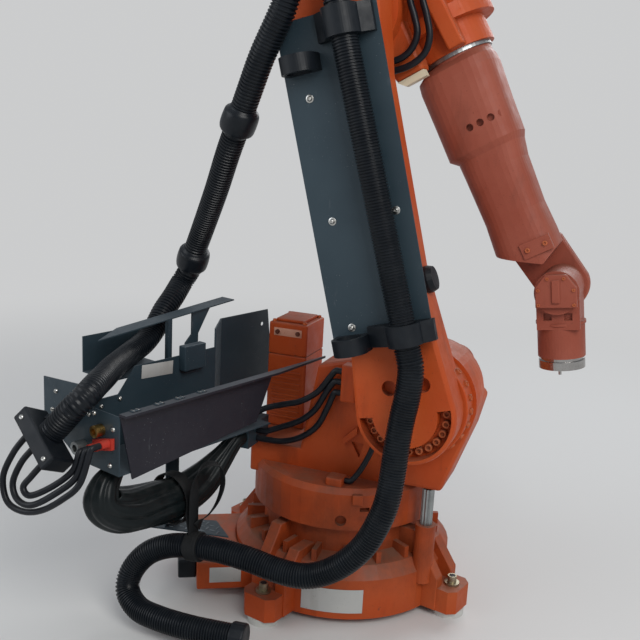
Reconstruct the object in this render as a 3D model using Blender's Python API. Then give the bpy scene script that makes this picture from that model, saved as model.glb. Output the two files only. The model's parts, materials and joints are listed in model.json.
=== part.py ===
# Heavy six-axis industrial robot arm, floor-standing, with its hose package and rear bracket.
# Metres, +Z up. The origin is on axis 1, on the underside of the base casting.
# +X is the way the arm points at rest, and +Y is its left side.

import math

import bmesh
import bpy
from mathutils import Matrix, Vector

# Driving dimensions of the mechanism

AXIS_2_FORWARD = 0.32
AXIS_2_HEIGHT = 0.78
LOWER_ARM_LENGTH = 1.28
FOREARM_RISE = 0.20
FOREARM_REACH = 1.09
FLANGE_REACH = 0.265

# Joint angles as the arm stands, in degrees

BASE_TURN = 30.7
LOWER_ARM_LEAN = -14.5
FOREARM_DROP = 60.45
WRIST_DROP = 82.3

# Gaps

SEAT = 0.0003
RUNNING_GAP = 0.005
OVERRUN = 0.02
ROUND_STEPS = 48
SMALL_STEPS = 24
FINE_STEPS = 24
SECTOR_STEPS = 18
EDGE = 0.006
FINE_EDGE = 0.003
CAST_EDGE = 0.012
SHARP = 60.0
CORD_SPACING = 5.0
EMPTY_SIZE = 0.1

# Base

BASE_RADIUS = 0.405
SKIRT_HEIGHT = 0.145
RIM_RADIUS = 0.37
RIM_HEIGHT = 0.185
DECK_HEIGHT = 0.20
COLUMN_RADIUS = 0.30
COLUMN_TOP = 0.285
FOOT_BOLT_RADIUS = 0.478
FOOT_HALF_WIDTH = 0.068
FOOT_END = 0.045
FOOT_CORNER = 0.025
FOOT_INNER = 0.33
FOOT_HEIGHT = 0.085
GUSSET_HALF_WIDTH = 0.022
GUSSET_SPREAD = 0.052
GUSSET_INNER = 0.27
GUSSET_KNEE = 0.35
GUSSET_TOP = 0.278
GUSSET_OUTER = 0.455
GUSSET_TOE = 0.12
GUSSET_ROOT = 0.15
SLEEVE_BOSS_RADIUS = 0.036
SLEEVE_BOSS_ROOT = 0.10
DECK_RIB_COUNT = 20
DECK_RIB_HALF_WIDTH = 0.009
DECK_RIB_INNER = 0.28
DECK_RIB_OUTER = 0.365
DECK_RIB_TOP = 0.228
DECK_RIB_BOTTOM = 0.16
HUMP_TOP = 0.222
HUMP_KNEE = 0.38
PAD_RADIUS = 0.055
PAD_THICKNESS = 0.025
PAD_SHIFT = 0.006
DECK_RIB_SHIFT = 0.5
FOOT_BEARINGS = (45.0, 135.0, 225.0, 315.0)
FOOT_HEAD_RADIUS = 0.016
FOOT_HEAD_HEIGHT = 0.032
FOOT_WASHER_RADIUS = 0.027
FOOT_WASHER_HEIGHT = 0.008
BOX_REAR = 0.56
BOX_FRONT = 0.36
BOX_HALF_WIDTH = 0.20
BOX_BOTTOM = 0.02
BOX_TOP = 0.125
BLOCK_LENGTH = 0.065
BLOCK_RIGHT = 0.15
BLOCK_LEFT = 0.03
BLOCK_BOTTOM = 0.04
BLOCK_TOP = 0.11

# Rotating frame

TABLE_RADIUS = 0.34
TABLE_BOTTOM = 0.30
TABLE_FLANGE_TOP = 0.43
TABLE_TOP = 0.45
TABLE_TOP_RADIUS = 0.325
TABLE_SPIGOT_RADIUS = 0.20
WEB_HALF_WIDTH = 0.20
DRUM_RADIUS = 0.19
DRUM_RIGHT = 0.215
DRUM_SHOULDER = 0.165
DRUM_LEFT = 0.10
DOME_DEPTH = 0.225
DOME_NECK_RADIUS = 0.13
DOME_STEPS = 8
GEAR_RING_RADIUS = 0.178
GEAR_RING_FACE = 0.30
MOTOR_DECK_REAR = 0.36
MOTOR_DECK_FRONT = 0.06
MOTOR_DECK_BOTTOM = 0.40
MOTOR_DECK_TOP = 0.52
MOTOR_DECK_CUT_BACK = 0.055
MOTOR_DECK_CUT_SIDE = 0.13
MOTOR_X = -0.2535
MOTOR_WIDTH = 0.155
MOTOR_RIGHT = 0.02
MOTOR_DEPTH = 0.18
MOTOR_SEAM = 0.803
MOTOR_TOP = 0.926
SLEEVE_X = 0.362
SLEEVE_Y = -0.165
SLEEVE_RADIUS = 0.022
SLEEVE_BOTTOM = 0.315
SLEEVE_TOP = 0.448
SLEEVE_FLUTE_DEPTH = 0.003
SLEEVE_FLUTE_COUNT = 12
AXIS_2_COVER_RADIUS = 0.12
AXIS_2_COVER_DEPTH = 0.055
AXIS_2_MOTOR_SIZE = 0.15
AXIS_2_MOTOR_LENGTH = 0.24

TABLE_LUG_LOW = (0.03, -0.31, 0.44)
TABLE_LUG_HIGH = (0.09, -0.25, 0.478)
TABLE_SMALL_LUG_BEARING = -64.0
TABLE_SMALL_LUG_HALF = 0.018
TABLE_SMALL_LUG_PROUD = 0.014
TABLE_SMALL_LUG_LOW = 0.40
TABLE_SMALL_LUG_HIGH = 0.436
TABLE_RECESS_BEARING = -72.9
TABLE_RECESS_RADIUS = 0.02
TABLE_RECESS_HEIGHT = 0.335
TABLE_RECESS_DEPTH = 0.02
TABLE_SLOT_BEARING = -59.2
TABLE_SLOT_HALF = 0.017
TABLE_SLOT_LOW = 0.37
TABLE_SLOT_HIGH = 0.386
CABLE_BOSS_REAR = 0.045
CABLE_BOSS_FRONT = 0.10
CABLE_BOSS_RIGHT = 0.25
CABLE_BOSS_BOTTOM = 0.735
CABLE_BOSS_TOP = 0.866
LEDGE_PROUD = 0.014
POCKET_SINK = 0.014

# Web outline, forward and up, between the turntable and the axis 2 drum
WEB_SPLIT = 0.02
WEB_SETBACK = 0.035
WEB_REAR_FOOT = -0.13
WEB_REAR_TOP = -0.06
WEB_FRONT_FOOT = 0.24
WEB_REAR_RISE = 0.06
WEB_FRONT_CHIN = 0.41
WEB_CHIN_HEIGHT = 0.455
WEB_FRONT_CHEEK = 0.485
WEB_CHEEK_HEIGHT = 0.67
LEDGE_REAR = 0.054
LEDGE_FRONT = 0.104
LEDGE_LOW = 0.565
LEDGE_RISE = 0.05
LEDGE_WIDTH = 0.028
WEDGE_REAR = 0.08
WEDGE_FRONT = 0.127
WEDGE_MID = 0.112
WEDGE_TOP = 0.58
WEDGE_TIP = 0.525

# Lower arm, with x forward and z along the arm from axis 2

ARM_FACE = 0.415
ARM_THICKNESS = 0.15
HUB_RADIUS = 0.166
HUB_SPIGOT_RADIUS = 0.12
HUB_CLEAR_RADIUS = 0.19
ARM_WAIST = 0.118
ARM_WAIST_START = 0.45
ARM_WAIST_END = 1.05
ARM_SHOULDER = 0.148
ARM_SHOULDER_HEIGHT = 0.17
ARM_HEAD_RADIUS = 0.15
ARM_HEAD_HEIGHT = 1.28
CRESCENT_INNER = 0.107
CRESCENT_OUTER = 0.151
CRESCENT_DEPTH = 0.05
CRESCENT_RIGHT = (2.0, -98.0)
CRESCENT_LEFT = (-114.0, -182.0)
POCKET_RADIUS = 0.025
POCKET_DEPTH = 0.03
POCKET_HEIGHT = 0.094
POCKET_SPREAD = 0.055
POCKET_SHIFT = 0.022
STOP_HEIGHT = 0.41
STOP_RADIUS = 0.043
STOP_RIGHT = 0.34
STOP_DEPTH = 0.032

# Plate, hose and clamps on the lower arm

PLATE_STANDOFF = 0.028
PLATE_THICKNESS = 0.004
PLATE_REAR = -0.176
PLATE_FRONT = 0.149
PLATE_BOTTOM = 0.238
PLATE_TOP = 1.252
SPACER_RADIUS = 0.014
SPACER_ROW = (0.307, 0.642, 1.017)
SPACER_REAR = -0.107
SPACER_FRONT = 0.10
HOSE_RADIUS = 0.041
HOSE_LIFT = 0.004
HOSE_LOW_X = 0.074
HOSE_HIGH_X = 0.047
HOSE_LOW_Z = 0.19
HOSE_HIGH_Z = 1.262
CLAMP_WALL = 0.014
CLAMP_EAR = 0.034
CLAMP_REAR_EAR = 0.034
CLAMP_EAR_DEPTH = 0.022
LOW_CLAMP_Z = 0.24
LOW_CLAMP_HEIGHT = 0.066
HIGH_CLAMP_Z = 1.205
HIGH_CLAMP_HEIGHT = 0.085
SPARE_RADIUS = 0.047
SPARE_WALL = 0.008
SPARE_HEIGHT = 0.052
SPARE_X = -0.106
SPARE_LOW_Z = 0.232
SPARE_HIGH_Z = 1.09

# Upper arm, with x along the forearm, z up from axis 3

HEAD_RIGHT = 0.26
UPPER_RIGHT = 0.147
UPPER_LEFT = 0.19
UPPER_DRUM_RADIUS = 0.165
UPPER_SPIGOT_RADIUS = 0.10
BARREL_RADIUS = 0.15
BARREL_REAR = -0.24
COLLAR_RADIUS = 0.172
COLLAR_REAR = 0.118
COLLAR_FRONT = 0.165
NECK_RADIUS = 0.135
NECK_FRONT = 0.25
RING_RADIUS = 0.122
RING_FRONT = 0.262
BAR_REAR = 0.05
BAR_FRONT = 0.268
BAR_RIGHT = 0.205
BAR_LEFT = 0.05
BAR_LOW = 0.03
BAR_HIGH = 0.13
BAR_CLEAR_RADIUS = 0.15
REST_FRONT = 0.29
REST_LOW = 0.034
REST_HIGH = 0.128
REST_SIDE = 0.165
REST_EDGE = 0.02
FIN_REAR = 0.03
FIN_MID = 0.10
FIN_FRONT = 0.248
FIN_RIGHT = 0.212
FIN_TIP = 0.172
FIN_ROOT = 0.10
FIN_LOW = 0.215
FIN_HIGH = 0.268
WRIST_MOTOR_SIZE = 0.105
WRIST_MOTOR_LENGTH = 0.23
WRIST_MOTOR_SPREAD = 0.118
AXIS_3_COVER_RADIUS = 0.13
AXIS_3_COVER_DEPTH = 0.05
AXIS_3_MOTOR_SIZE = 0.14
AXIS_3_MOTOR_LENGTH = 0.20
BLOCK_RISE = 0.10
ARM_CABLE_RADIUS = 0.011
ARM_CABLE_SIDE = 0.235

# Forearm, with x along its axis from axis 3 and z across it

TONGUE_RADIUS = 0.072
TONGUE_HALF_WIDTH = 0.077
CHEEK_INNER = 0.086
CHEEK_OUTER = 0.132
CHEEK_RADIUS = 0.088
CHEEK_LOW = 0.142
CHEEK_HIGH = 0.06
CHEEK_ROOT = 0.06
# Stations: length, bottom edge, top edge, half width
TUBE_STATIONS = (
    (0.268, -0.112, 0.110, 0.112),
    (0.290, -0.142, 0.119, 0.133),
    (0.320, -0.147, 0.121, 0.137),
    (0.450, -0.150, 0.109, 0.134),
    (0.560, -0.154, 0.102, 0.128),
    (0.582, -0.130, 0.092, 0.116),
    (0.640, -0.130, 0.080, 0.112),
    (0.800, -0.132, 0.068, 0.108),
    (0.900, -0.142, 0.070, 0.110),
    (0.984, -0.140, 0.066, 0.112),
)
TUBE_SIDES = 40
TUBE_SQUARENESS = 3.2
PAD_PLATE_START = 0.90
PAD_PLATE_LENGTH = 0.05
PAD_PLATE_LOW = -0.045
PAD_PLATE_HIGH = 0.055
PAD_PLATE_SIDE = 0.116
SCREW_ROW_START = 0.49
SCREW_ROW_LOW = -0.03
SCREW_ROW_PITCH = 0.036
SCREW_ROW_COUNT = 4
SCREW_POCKET_RADIUS = 0.012
SCREW_POCKET_SINK = 0.02

# Wrist, with x towards the tool from axis 5

COVER_HALF_WIDTH = 0.066
COVER_TOP = 0.062
COVER_TOP_HALF = 0.034
COVER_SHOULDER = 0.02
COVER_BOTTOM = 0.046
COVER_DEPTH = 0.018
COVER_RIB_HALF = 0.013
COVER_RIB_TOP = 0.046
COVER_RIB_BOTTOM = 0.03
COVER_RIB_PROUD = 0.007
WRIST_RIGHT = 0.098
WRIST_LEFT = 0.078
WRIST_ROOM = 0.104
WRIST_ROOM_SIDE = 0.18
ROOM_SLANT = 0.58
NOTCH_START = 0.07
NOTCH_LENGTH = 0.024
NOTCH_INNER = 0.02
NOTCH_OUTER = 0.046
NOTCH_DEPTH = 0.012
BLOCK_START = 0.106
BLOCK_HALF = 0.078
CUP_LIP_DEPTH = 0.008
CUP_LIP_PROUD = 0.004
BLOCK_END = 0.226
FLANGE_RADIUS = 0.076
FLANGE_NECK_RADIUS = 0.070
FLANGE_NECK = 0.012
FLANGE_BORE_RADIUS = 0.0315
FLANGE_BORE_DEPTH = 0.006
PIN_RADIUS = 0.005
PIN_LENGTH = 0.014
PIN_CIRCLE = 0.0625

# Rear bracket, with x out of its front panel, y along it to the left, z up

BRACKET_X = -0.098
BRACKET_Y = 0.156
BRACKET_TURN = -17.2
SHEET = 0.004
TRAY_NEAR = 1.088
TRAY_FAR = 0.40
TRAY_EDGE_HEIGHT = 0.80
TRAY_FLOOR_HEIGHT = 0.60
TRAY_DEPTH = 0.20
TRAY_BACK_TOP = 0.862
FLANGE_START = 0.49
EAR_SLANT = 0.05
STAY_REAR = 0.335
STAY_FRONT = 0.27
STAY_RIGHT = 0.30
STAY_LEFT = 0.13
FRONT_NEAR_LOW = 1.04
FRONT_NEAR_BOTTOM = 0.58
FRONT_FAR_BOTTOM = 0.63
FRONT_FAR_LOW = 0.481
LIP_WIDTH = 0.028
LIP_TIP = 0.10
END_DEPTH = 0.375
END_BOTTOM = 0.60
END_REAR_TOP = 0.835
END_REAR_BOTTOM = 0.70
EAR_OFFSET = 0.30
EAR_NEAR = 0.36
EAR_FAR = 0.10
EAR_TOP = 0.93
EAR_BOTTOM = 0.60
EAR_HOLE_RADIUS = 0.008
EAR_HOLE_INSET = 0.03
EAR_HOLE_DROP = 0.055
BACK_SLOPE_START = 0.86
BACK_SLOPE_END = 0.93
BACK_NEAR_TOP = 0.78
END_NOTCH_OFFSET = 0.20
END_NOTCH_TOP = 0.79
END_MID_TOP = 0.848
LATCH_NEAR = 0.667
LATCH_FAR = 0.568
LATCH_BOTTOM = 0.81
LATCH_TOP = 0.898
LATCH_DEPTH = 0.03
TOP_OFFSET = 0.27
TOP_REAR_OFFSET = 0.332
TOP_NEAR = 0.956
TOP_NEAR_REAR = 0.83
TOP_FAR = 0.327
TOP_NEAR_HEIGHT = 0.95
TOP_FAR_HEIGHT = 1.004
POST_NEAR = 0.655
POST_FAR = 0.636
POST_WIDTH = 0.016
CHUTE_NEAR = 0.90
CHUTE_BOTTOM = 0.80
CHUTE_TOP = 0.925
CHUTE_OFFSET = 0.425
HOOK_THICKNESS = 0.008
HOOK_SETBACK = 0.01
HOOK_ROOT_FAR = 0.44
HOOK_ROOT_NEAR = 0.53
HOOK_NECK_FAR = 0.50
HOOK_NECK_NEAR = 0.53
HOOK_BEND = 0.90
HOOK_TIP_NEAR = 0.56
HOOK_TIP_FAR = 0.515
HOOK_TIP_HIGH = 0.872
HOOK_TIP_LOW = 0.842

# Rear clamp, fittings and the cables between them, in the bracket's frame

REAR_CLAMP_PLACE = (-0.20, -1.19, 0.713)
REAR_CLAMP_TOWARD = (-0.54, -0.41, -0.73)
REAR_CLAMP_ACROSS = (-0.947, 0, 0.323)
REAR_CLAMP_HALF = 0.105
REAR_CLAMP_HALF_WIDTH = 0.05
REAR_CLAMP_LENGTH = 0.055
REAR_CLAMP_FOOT_LOW = (-0.275, -1.17, 0.695)
REAR_CLAMP_FOOT_HIGH = (-0.24, 0, 0.745)
COUPLER_BORE_SHARE = 0.55
BRASS_PLACE = (-0.086, 0.73)
BRASS_RADIUS = 0.019
BRASS_LENGTH = 0.03
STEEL_PLACE = (-0.172, 0.655)
STEEL_RADIUS = 0.021
STEEL_LENGTH = 0.035
RED_SPOTS = ((-0.043, 0.700), (-0.069, 0.687), (-0.097, 0.676))
RED_RADIUS = 0.013
RED_LENGTH = 0.04
RED_BASE_LENGTH = 0.012
RED_BASE_EDGE = 0.018
REAR_CABLE_RADIUS = 0.010
REAR_CABLE_STARTS = (0.055, 0.005, -0.06)
REAR_CABLE_LEAD = 0.03

# Wrapped bundle, chequer plate, strap and cables under the bracket, in its frame

BUNDLE_RADIUS = 0.075
BUNDLE_SPACING = 0.05
CHEQUER_OUTLINE = (
    (-0.405, -0.789), (-0.333, -0.818), (0.021, -0.628), (-0.097, -0.568),
)
CHEQUER_TOP = 0.25
CHEQUER_THICKNESS = 0.005
CHEQUER_HANGER_OFFSET = 0.188
CHEQUER_HANGER_NEAR = 0.73
CHEQUER_HANGER_FAR = 0.67
STRAP_NEAR = 0.808
STRAP_FAR = 0.764
STRAP_TOP = 0.66
STRAP_THICKNESS = 0.005
STRAP_RING_WALL = 0.008
STRAP_RING_PLACE = (0.0183, -0.7848, 0.270)
STRAP_RING_TOWARD = (-0.96, -0.27, -0.13)
STRAP_RING_HALF = 0.024
STRAP_RING_GAP = 0.003
CUFF_RADIUS = 0.049
CUFF_LENGTH = 0.05
DRIVE_CABLE_RADIUS = 0.011
DRIVE_CABLE_SIDE = 0.23
HUB_CABLE_RADIUS = 0.010
HUB_CABLE_SIDE = 0.245
HUB_CABLE_END = (-0.646, -0.764)
HOSE_LEAD = 0.07
HOSE_END_LEAD = 0.03
HOSE_SPACING = 0.06
ARM_HOSE_SPANS = 5
SLEEVED_RADIUS_SHARE = 1.38


# Small tools

QUARTER = 90.0
WELD = 0.00001
FACET_ANGLE = 32.0


def clear_scene():
    for obj in list(bpy.data.objects):
        bpy.data.objects.remove(obj, do_unlink=True)


def body(name, bm):
    """Makes an object of a bmesh and turns its faces outward."""
    bmesh.ops.remove_doubles(bm, verts=bm.verts, dist=WELD)
    bmesh.ops.recalc_face_normals(bm, faces=bm.faces)
    mesh = bpy.data.meshes.new(name)
    bm.to_mesh(mesh)
    bm.free()
    obj = bpy.data.objects.new(name, mesh)
    bpy.context.scene.collection.objects.link(obj)
    return obj


def prism(name, outline, low, high, along="Y"):
    """Extrudes a closed outline between two heights on one axis."""
    place = {
        "X": lambda a, b, c: (c, a, b),
        "Y": lambda a, b, c: (a, c, b),
        "Z": lambda a, b, c: (a, b, c),
    }[along]
    bm = bmesh.new()
    rings = [[bm.verts.new(place(a, b, c)) for a, b in outline] for c in (low, high)]
    for ring in rings:
        bm.faces.new(ring)
    count = len(outline)
    for i in range(count):
        j = (i + 1) % count
        bm.faces.new((rings[0][i], rings[0][j], rings[1][j], rings[1][i]))
    return body(name, bm)


def slab(name, low, high):
    """Makes a box from its two opposite corners."""
    outline = [(low[0], low[1]), (high[0], low[1]), (high[0], high[1]), (low[0], high[1])]
    return prism(name, outline, low[2], high[2], "Z")


def turned(name, profile, along="Z", centre=(0, 0, 0), steps=ROUND_STEPS):
    """Spins a profile of radius and height about an axis."""
    bm = bmesh.new()
    ring = [bm.verts.new((radius, 0, height)) for radius, height in profile]
    edges = [bm.edges.new(pair) for pair in zip(ring, ring[1:])]
    if profile[0][0] > 0:
        edges.append(bm.edges.new((ring[-1], ring[0])))
    bmesh.ops.spin(
        bm, geom=ring + edges, cent=(0, 0, 0), axis=(0, 0, 1), angle=math.tau, steps=steps,
        use_duplicate=False,
    )
    turn = {
        "X": Matrix.Rotation(math.radians(QUARTER), 4, "Y"),
        "Y": Matrix.Rotation(math.radians(-QUARTER), 4, "X"),
        "Z": Matrix.Identity(4),
    }[along]
    bm.transform(Matrix.Translation(centre) @ turn)
    return body(name, bm)


def rod(name, radius, low, high, along="Z", centre=(0, 0, 0), steps=ROUND_STEPS):
    """Makes a plain cylinder between two heights on its axis."""
    return turned(name, [(0, low), (radius, low), (radius, high), (0, high)], along, centre, steps)


def bake(obj):
    """Turns the object's modifiers into plain mesh."""
    bpy.context.view_layer.update()
    graph = bpy.context.evaluated_depsgraph_get()
    mesh = bpy.data.meshes.new_from_object(obj.evaluated_get(graph))
    obj.modifiers.clear()
    obj.data = mesh
    return obj


def combine(obj, others, operation):
    for other in others:
        modifier = obj.modifiers.new(other.name, "BOOLEAN")
        modifier.operation = operation
        modifier.solver = "EXACT"
        modifier.object = other
        bake(obj)
        bpy.data.objects.remove(other, do_unlink=True)
    return obj


def carve(obj, *cutters):
    return combine(obj, cutters, "DIFFERENCE")


def fuse(obj, *others):
    return combine(obj, others, "UNION")


def soften(obj, width, segments=2, angle=30.0):
    """Rounds the sharp edges."""
    modifier = obj.modifiers.new("edges", "BEVEL")
    modifier.width = width
    modifier.segments = segments
    modifier.limit_method = "ANGLE"
    modifier.angle_limit = math.radians(angle)
    return bake(obj)


def moved(obj, matrix):
    obj.data.transform(matrix)
    return obj


def turn_about(axis, degrees):
    return Matrix.Rotation(math.radians(degrees), 4, axis)


def arc(radius, first, last, steps, centre=(0, 0)):
    """Lists points on an arc, angles in degrees."""
    points = []
    for i in range(steps + 1):
        angle = math.radians(first + (last - first) * i / steps)
        points.append((centre[0] + radius * math.cos(angle), centre[1] + radius * math.sin(angle)))
    return points


def smooth_path(points, spacing):
    """Reads a route of hand-placed points as a smooth curve, with a straight lead at each end."""
    points = [Vector(point) for point in points]
    fine = []
    for a, b, c, d in zip(points, points[1:], points[2:], points[3:]):
        for i in range(FINE_STEPS):
            t = i / FINE_STEPS
            fine.append(
                (b * 2 + (c - a) * t + (a * 2 - b * 5 + c * 4 - d) * t * t
                 + (b * 3 - a - c * 3 + d) * t * t * t) / 2
            )
    fine.append(points[-2])
    lengths = [0]
    for a, b in zip(fine, fine[1:]):
        lengths.append(lengths[-1] + (b - a).length)
    count = max(round(lengths[-1] / spacing), 1)
    path = [points[0]]
    at = 0
    for i in range(count + 1):
        goal = lengths[-1] * i / count
        while at < len(fine) - 2 and lengths[at + 1] < goal:
            at += 1
        span = lengths[at + 1] - lengths[at]
        path.append(fine[at].lerp(fine[at + 1], (goal - lengths[at]) / span if span else 0))
    path.append(points[-1])
    return path


def tube(name, points, radius, spacing=None, resolution=3):
    """Makes a round cord along a route, whose points may carry a share of the radius."""
    path = smooth_path(points, spacing or radius * CORD_SPACING)
    curve = bpy.data.curves.new(name, "CURVE")
    curve.dimensions = "3D"
    curve.bevel_depth = radius
    curve.bevel_resolution = resolution
    curve.use_fill_caps = True
    spline = curve.splines.new("POLY")
    spline.points.add(len(path) - 1)
    for point, place in zip(spline.points, path):
        point.co = (*place[:3], 1)
        point.radius = place[3] if len(place) > 3 else 1
    obj = bpy.data.objects.new(name, curve)
    bpy.context.scene.collection.objects.link(obj)
    return obj


def towards(place, forward, across):
    """Gives the frame at a place whose Z looks forward and whose X leans to the second direction."""
    z = Vector(forward).normalized()
    y = z.cross(Vector(across)).normalized()
    turn = Matrix((y.cross(z), y, z)).transposed().to_4x4()
    return Matrix.Translation(place) @ turn


def axes(name, parent, place, turn=None):
    """Makes a named frame that pieces hang from."""
    empty = bpy.data.objects.new(name, None)
    bpy.context.scene.collection.objects.link(empty)
    empty.empty_display_size = EMPTY_SIZE
    empty.parent = parent
    empty.matrix_local = Matrix.Translation(place) @ (turn or Matrix.Identity(4))
    return empty


MATERIALS = {}


def paint(name, color, metallic, roughness):
    material = bpy.data.materials.new(name)
    material.use_nodes = True
    shader = material.node_tree.nodes["Principled BSDF"]
    shader.inputs["Base Color"].default_value = (*color, 1)
    shader.inputs["Metallic"].default_value = metallic
    shader.inputs["Roughness"].default_value = roughness
    material.diffuse_color = (*color, 1)
    MATERIALS[name] = material


def finish(obj, parent, material):
    """Hangs a finished piece on its frame, shades it and gives it its own material."""
    own = MATERIALS[material].copy()
    own.name = obj.name
    obj.data.materials.clear()
    obj.data.materials.append(own)
    if obj.type == "MESH":
        obj.data.polygons.foreach_set("use_smooth", [True] * len(obj.data.polygons))
        obj.data.set_sharp_from_angle(angle=math.radians(FACET_ANGLE))
    obj.parent = parent
    return obj


# Base pieces


def base_casting(parent):
    """The round foot of the machine: skirt, deck, column, lugs, gussets and deck ribs."""
    casting = turned("base_casting", [
        (0, 0), (BASE_RADIUS, 0), (BASE_RADIUS, SKIRT_HEIGHT), (RIM_RADIUS, RIM_HEIGHT),
        (COLUMN_RADIUS, DECK_HEIGHT), (COLUMN_RADIUS, COLUMN_TOP), (0, COLUMN_TOP),
    ])
    gusset = [
        (GUSSET_INNER, GUSSET_ROOT), (GUSSET_INNER, GUSSET_TOP), (GUSSET_KNEE, GUSSET_TOP),
        (GUSSET_OUTER, GUSSET_TOE), (GUSSET_OUTER, SEAT), (FOOT_INNER, SEAT), (FOOT_INNER, GUSSET_ROOT),
    ]
    end = FOOT_BOLT_RADIUS + FOOT_END
    foot = [
        (FOOT_INNER, -FOOT_HALF_WIDTH), (end - FOOT_CORNER, -FOOT_HALF_WIDTH),
        (end, FOOT_CORNER - FOOT_HALF_WIDTH), (end, FOOT_HALF_WIDTH - FOOT_CORNER),
        (end - FOOT_CORNER, FOOT_HALF_WIDTH), (FOOT_INNER, FOOT_HALF_WIDTH),
    ]
    hump = [
        (GUSSET_INNER, GUSSET_ROOT), (GUSSET_INNER, HUMP_TOP), (HUMP_KNEE, HUMP_TOP),
        (GUSSET_OUTER, GUSSET_TOE), (GUSSET_OUTER, SEAT), (FOOT_INNER, SEAT), (FOOT_INNER, GUSSET_ROOT),
    ]
    added = []
    for bearing in FOOT_BEARINGS:
        turn = turn_about("Z", bearing)
        added.append(moved(prism("foot", foot, 0, FOOT_HEIGHT, "Z"), turn))
        for side, outline in ((-1, gusset), (1, hump)):
            centre = side * GUSSET_SPREAD
            rib = prism("gusset", outline, centre - GUSSET_HALF_WIDTH, centre + GUSSET_HALF_WIDTH)
            added.append(moved(soften(rib, FINE_EDGE, 1), turn))
    for i in range(DECK_RIB_COUNT):
        bearing = math.degrees(math.tau) * (i + DECK_RIB_SHIFT) / DECK_RIB_COUNT
        rib = prism("rib", [
            (DECK_RIB_INNER, DECK_RIB_BOTTOM), (DECK_RIB_INNER, DECK_RIB_TOP),
            (DECK_RIB_OUTER, DECK_RIB_TOP), (DECK_RIB_OUTER, DECK_RIB_BOTTOM),
        ], -DECK_RIB_HALF_WIDTH, DECK_RIB_HALF_WIDTH)
        added.append(moved(rib, turn_about("Z", bearing)))
    boss = rod("boss", SLEEVE_BOSS_RADIUS, SLEEVE_BOSS_ROOT, SLEEVE_BOTTOM - SEAT, steps=SMALL_STEPS)
    boss_place = turn_about("Z", -BASE_TURN) @ Matrix.Translation((SLEEVE_X, SLEEVE_Y, 0))
    added.append(moved(boss, boss_place))
    fuse(casting, *added)
    return finish(casting, parent, "orange_paint")


def anchors(parent):
    """The levelling pads under the four feet and the bolts that hold them down."""
    for number, bearing in enumerate(FOOT_BEARINGS, 1):
        turn = turn_about("Z", bearing)
        place = turn @ Matrix.Translation((FOOT_BOLT_RADIUS - PAD_SHIFT, 0, 0))
        pad = rod(f"anchor_pad_{number}", PAD_RADIUS, -PAD_THICKNESS, -SEAT)
        finish(moved(pad, place), parent, "pad_white")
        bolt = turned(f"anchor_bolt_{number}", [
            (0, 0), (FOOT_WASHER_RADIUS, 0), (FOOT_WASHER_RADIUS, FOOT_WASHER_HEIGHT),
            (FOOT_HEAD_RADIUS, FOOT_WASHER_HEIGHT), (FOOT_HEAD_RADIUS, FOOT_HEAD_HEIGHT),
            (0, FOOT_HEAD_HEIGHT),
        ], steps=SMALL_STEPS)
        place = turn @ Matrix.Translation((FOOT_BOLT_RADIUS, 0, FOOT_HEIGHT + SEAT))
        finish(moved(bolt, place), parent, "zinc")


def connector_box(parent):
    """The plug box on the back of the base, with its black plug."""
    box = slab(
        "base_connector_box", (-BOX_REAR, -BOX_HALF_WIDTH, BOX_BOTTOM),
        (-BOX_FRONT, BOX_HALF_WIDTH, BOX_TOP),
    )
    hollow = rod("hollow", BASE_RADIUS + SEAT, -OVERRUN, SKIRT_HEIGHT)
    carve(box, hollow)
    finish(soften(box, EDGE), parent, "orange_paint")
    plug = slab(
        "base_connector_plug", (-BOX_REAR - SEAT - BLOCK_LENGTH, -BLOCK_RIGHT, BLOCK_BOTTOM),
        (-BOX_REAR - SEAT, -BLOCK_LEFT, BLOCK_TOP),
    )
    finish(soften(plug, EDGE), parent, "black_plastic")


def ribbed_sleeve(parent):
    """The grey fluted sleeve that stands by the right front foot."""
    outline = []
    for i in range(SLEEVE_FLUTE_COUNT):
        for part, radius in ((0, SLEEVE_RADIUS), (1, SLEEVE_RADIUS - SLEEVE_FLUTE_DEPTH)):
            angle = math.tau * (i + part / 2) / SLEEVE_FLUTE_COUNT
            outline.append((SLEEVE_X + radius * math.cos(angle), SLEEVE_Y + radius * math.sin(angle)))
    finish(prism("ribbed_sleeve", outline, SLEEVE_BOTTOM, SLEEVE_TOP, "Z"), parent, "grey_steel")


# Rotating frame pieces


def web_layer(setback, low, high):
    """One layer of the web that carries axis 2, with its front edge set back."""
    outline = [
        (WEB_REAR_FOOT, TABLE_TOP - OVERRUN), (WEB_FRONT_FOOT - setback, TABLE_TOP - OVERRUN),
        (WEB_FRONT_FOOT - setback, WEB_CHIN_HEIGHT), (WEB_FRONT_CHIN - setback, WEB_CHIN_HEIGHT),
        (WEB_FRONT_CHEEK - setback, WEB_CHEEK_HEIGHT),
        (AXIS_2_FORWARD + DRUM_RADIUS - setback, AXIS_2_HEIGHT),
        (AXIS_2_FORWARD, AXIS_2_HEIGHT + DRUM_RADIUS - OVERRUN - setback),
        (WEB_REAR_TOP, AXIS_2_HEIGHT + WEB_REAR_RISE),
    ]
    return soften(prism("web", outline, low, high), CAST_EDGE)


def drum_profile():
    """The half section of the axis 2 drum: a rim, then a dome that narrows to the left."""
    profile = [(0, -DRUM_RIGHT), (DRUM_RADIUS, -DRUM_RIGHT)]
    for i in range(DOME_STEPS + 1):
        angle = math.radians(QUARTER) * i / DOME_STEPS
        radius = DOME_NECK_RADIUS + (DRUM_RADIUS - DOME_NECK_RADIUS) * math.cos(angle)
        profile.append((radius, DOME_DEPTH * math.sin(angle) - DRUM_SHOULDER))
    return profile + [(DOME_NECK_RADIUS, DRUM_LEFT), (0, DRUM_LEFT)]


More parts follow.
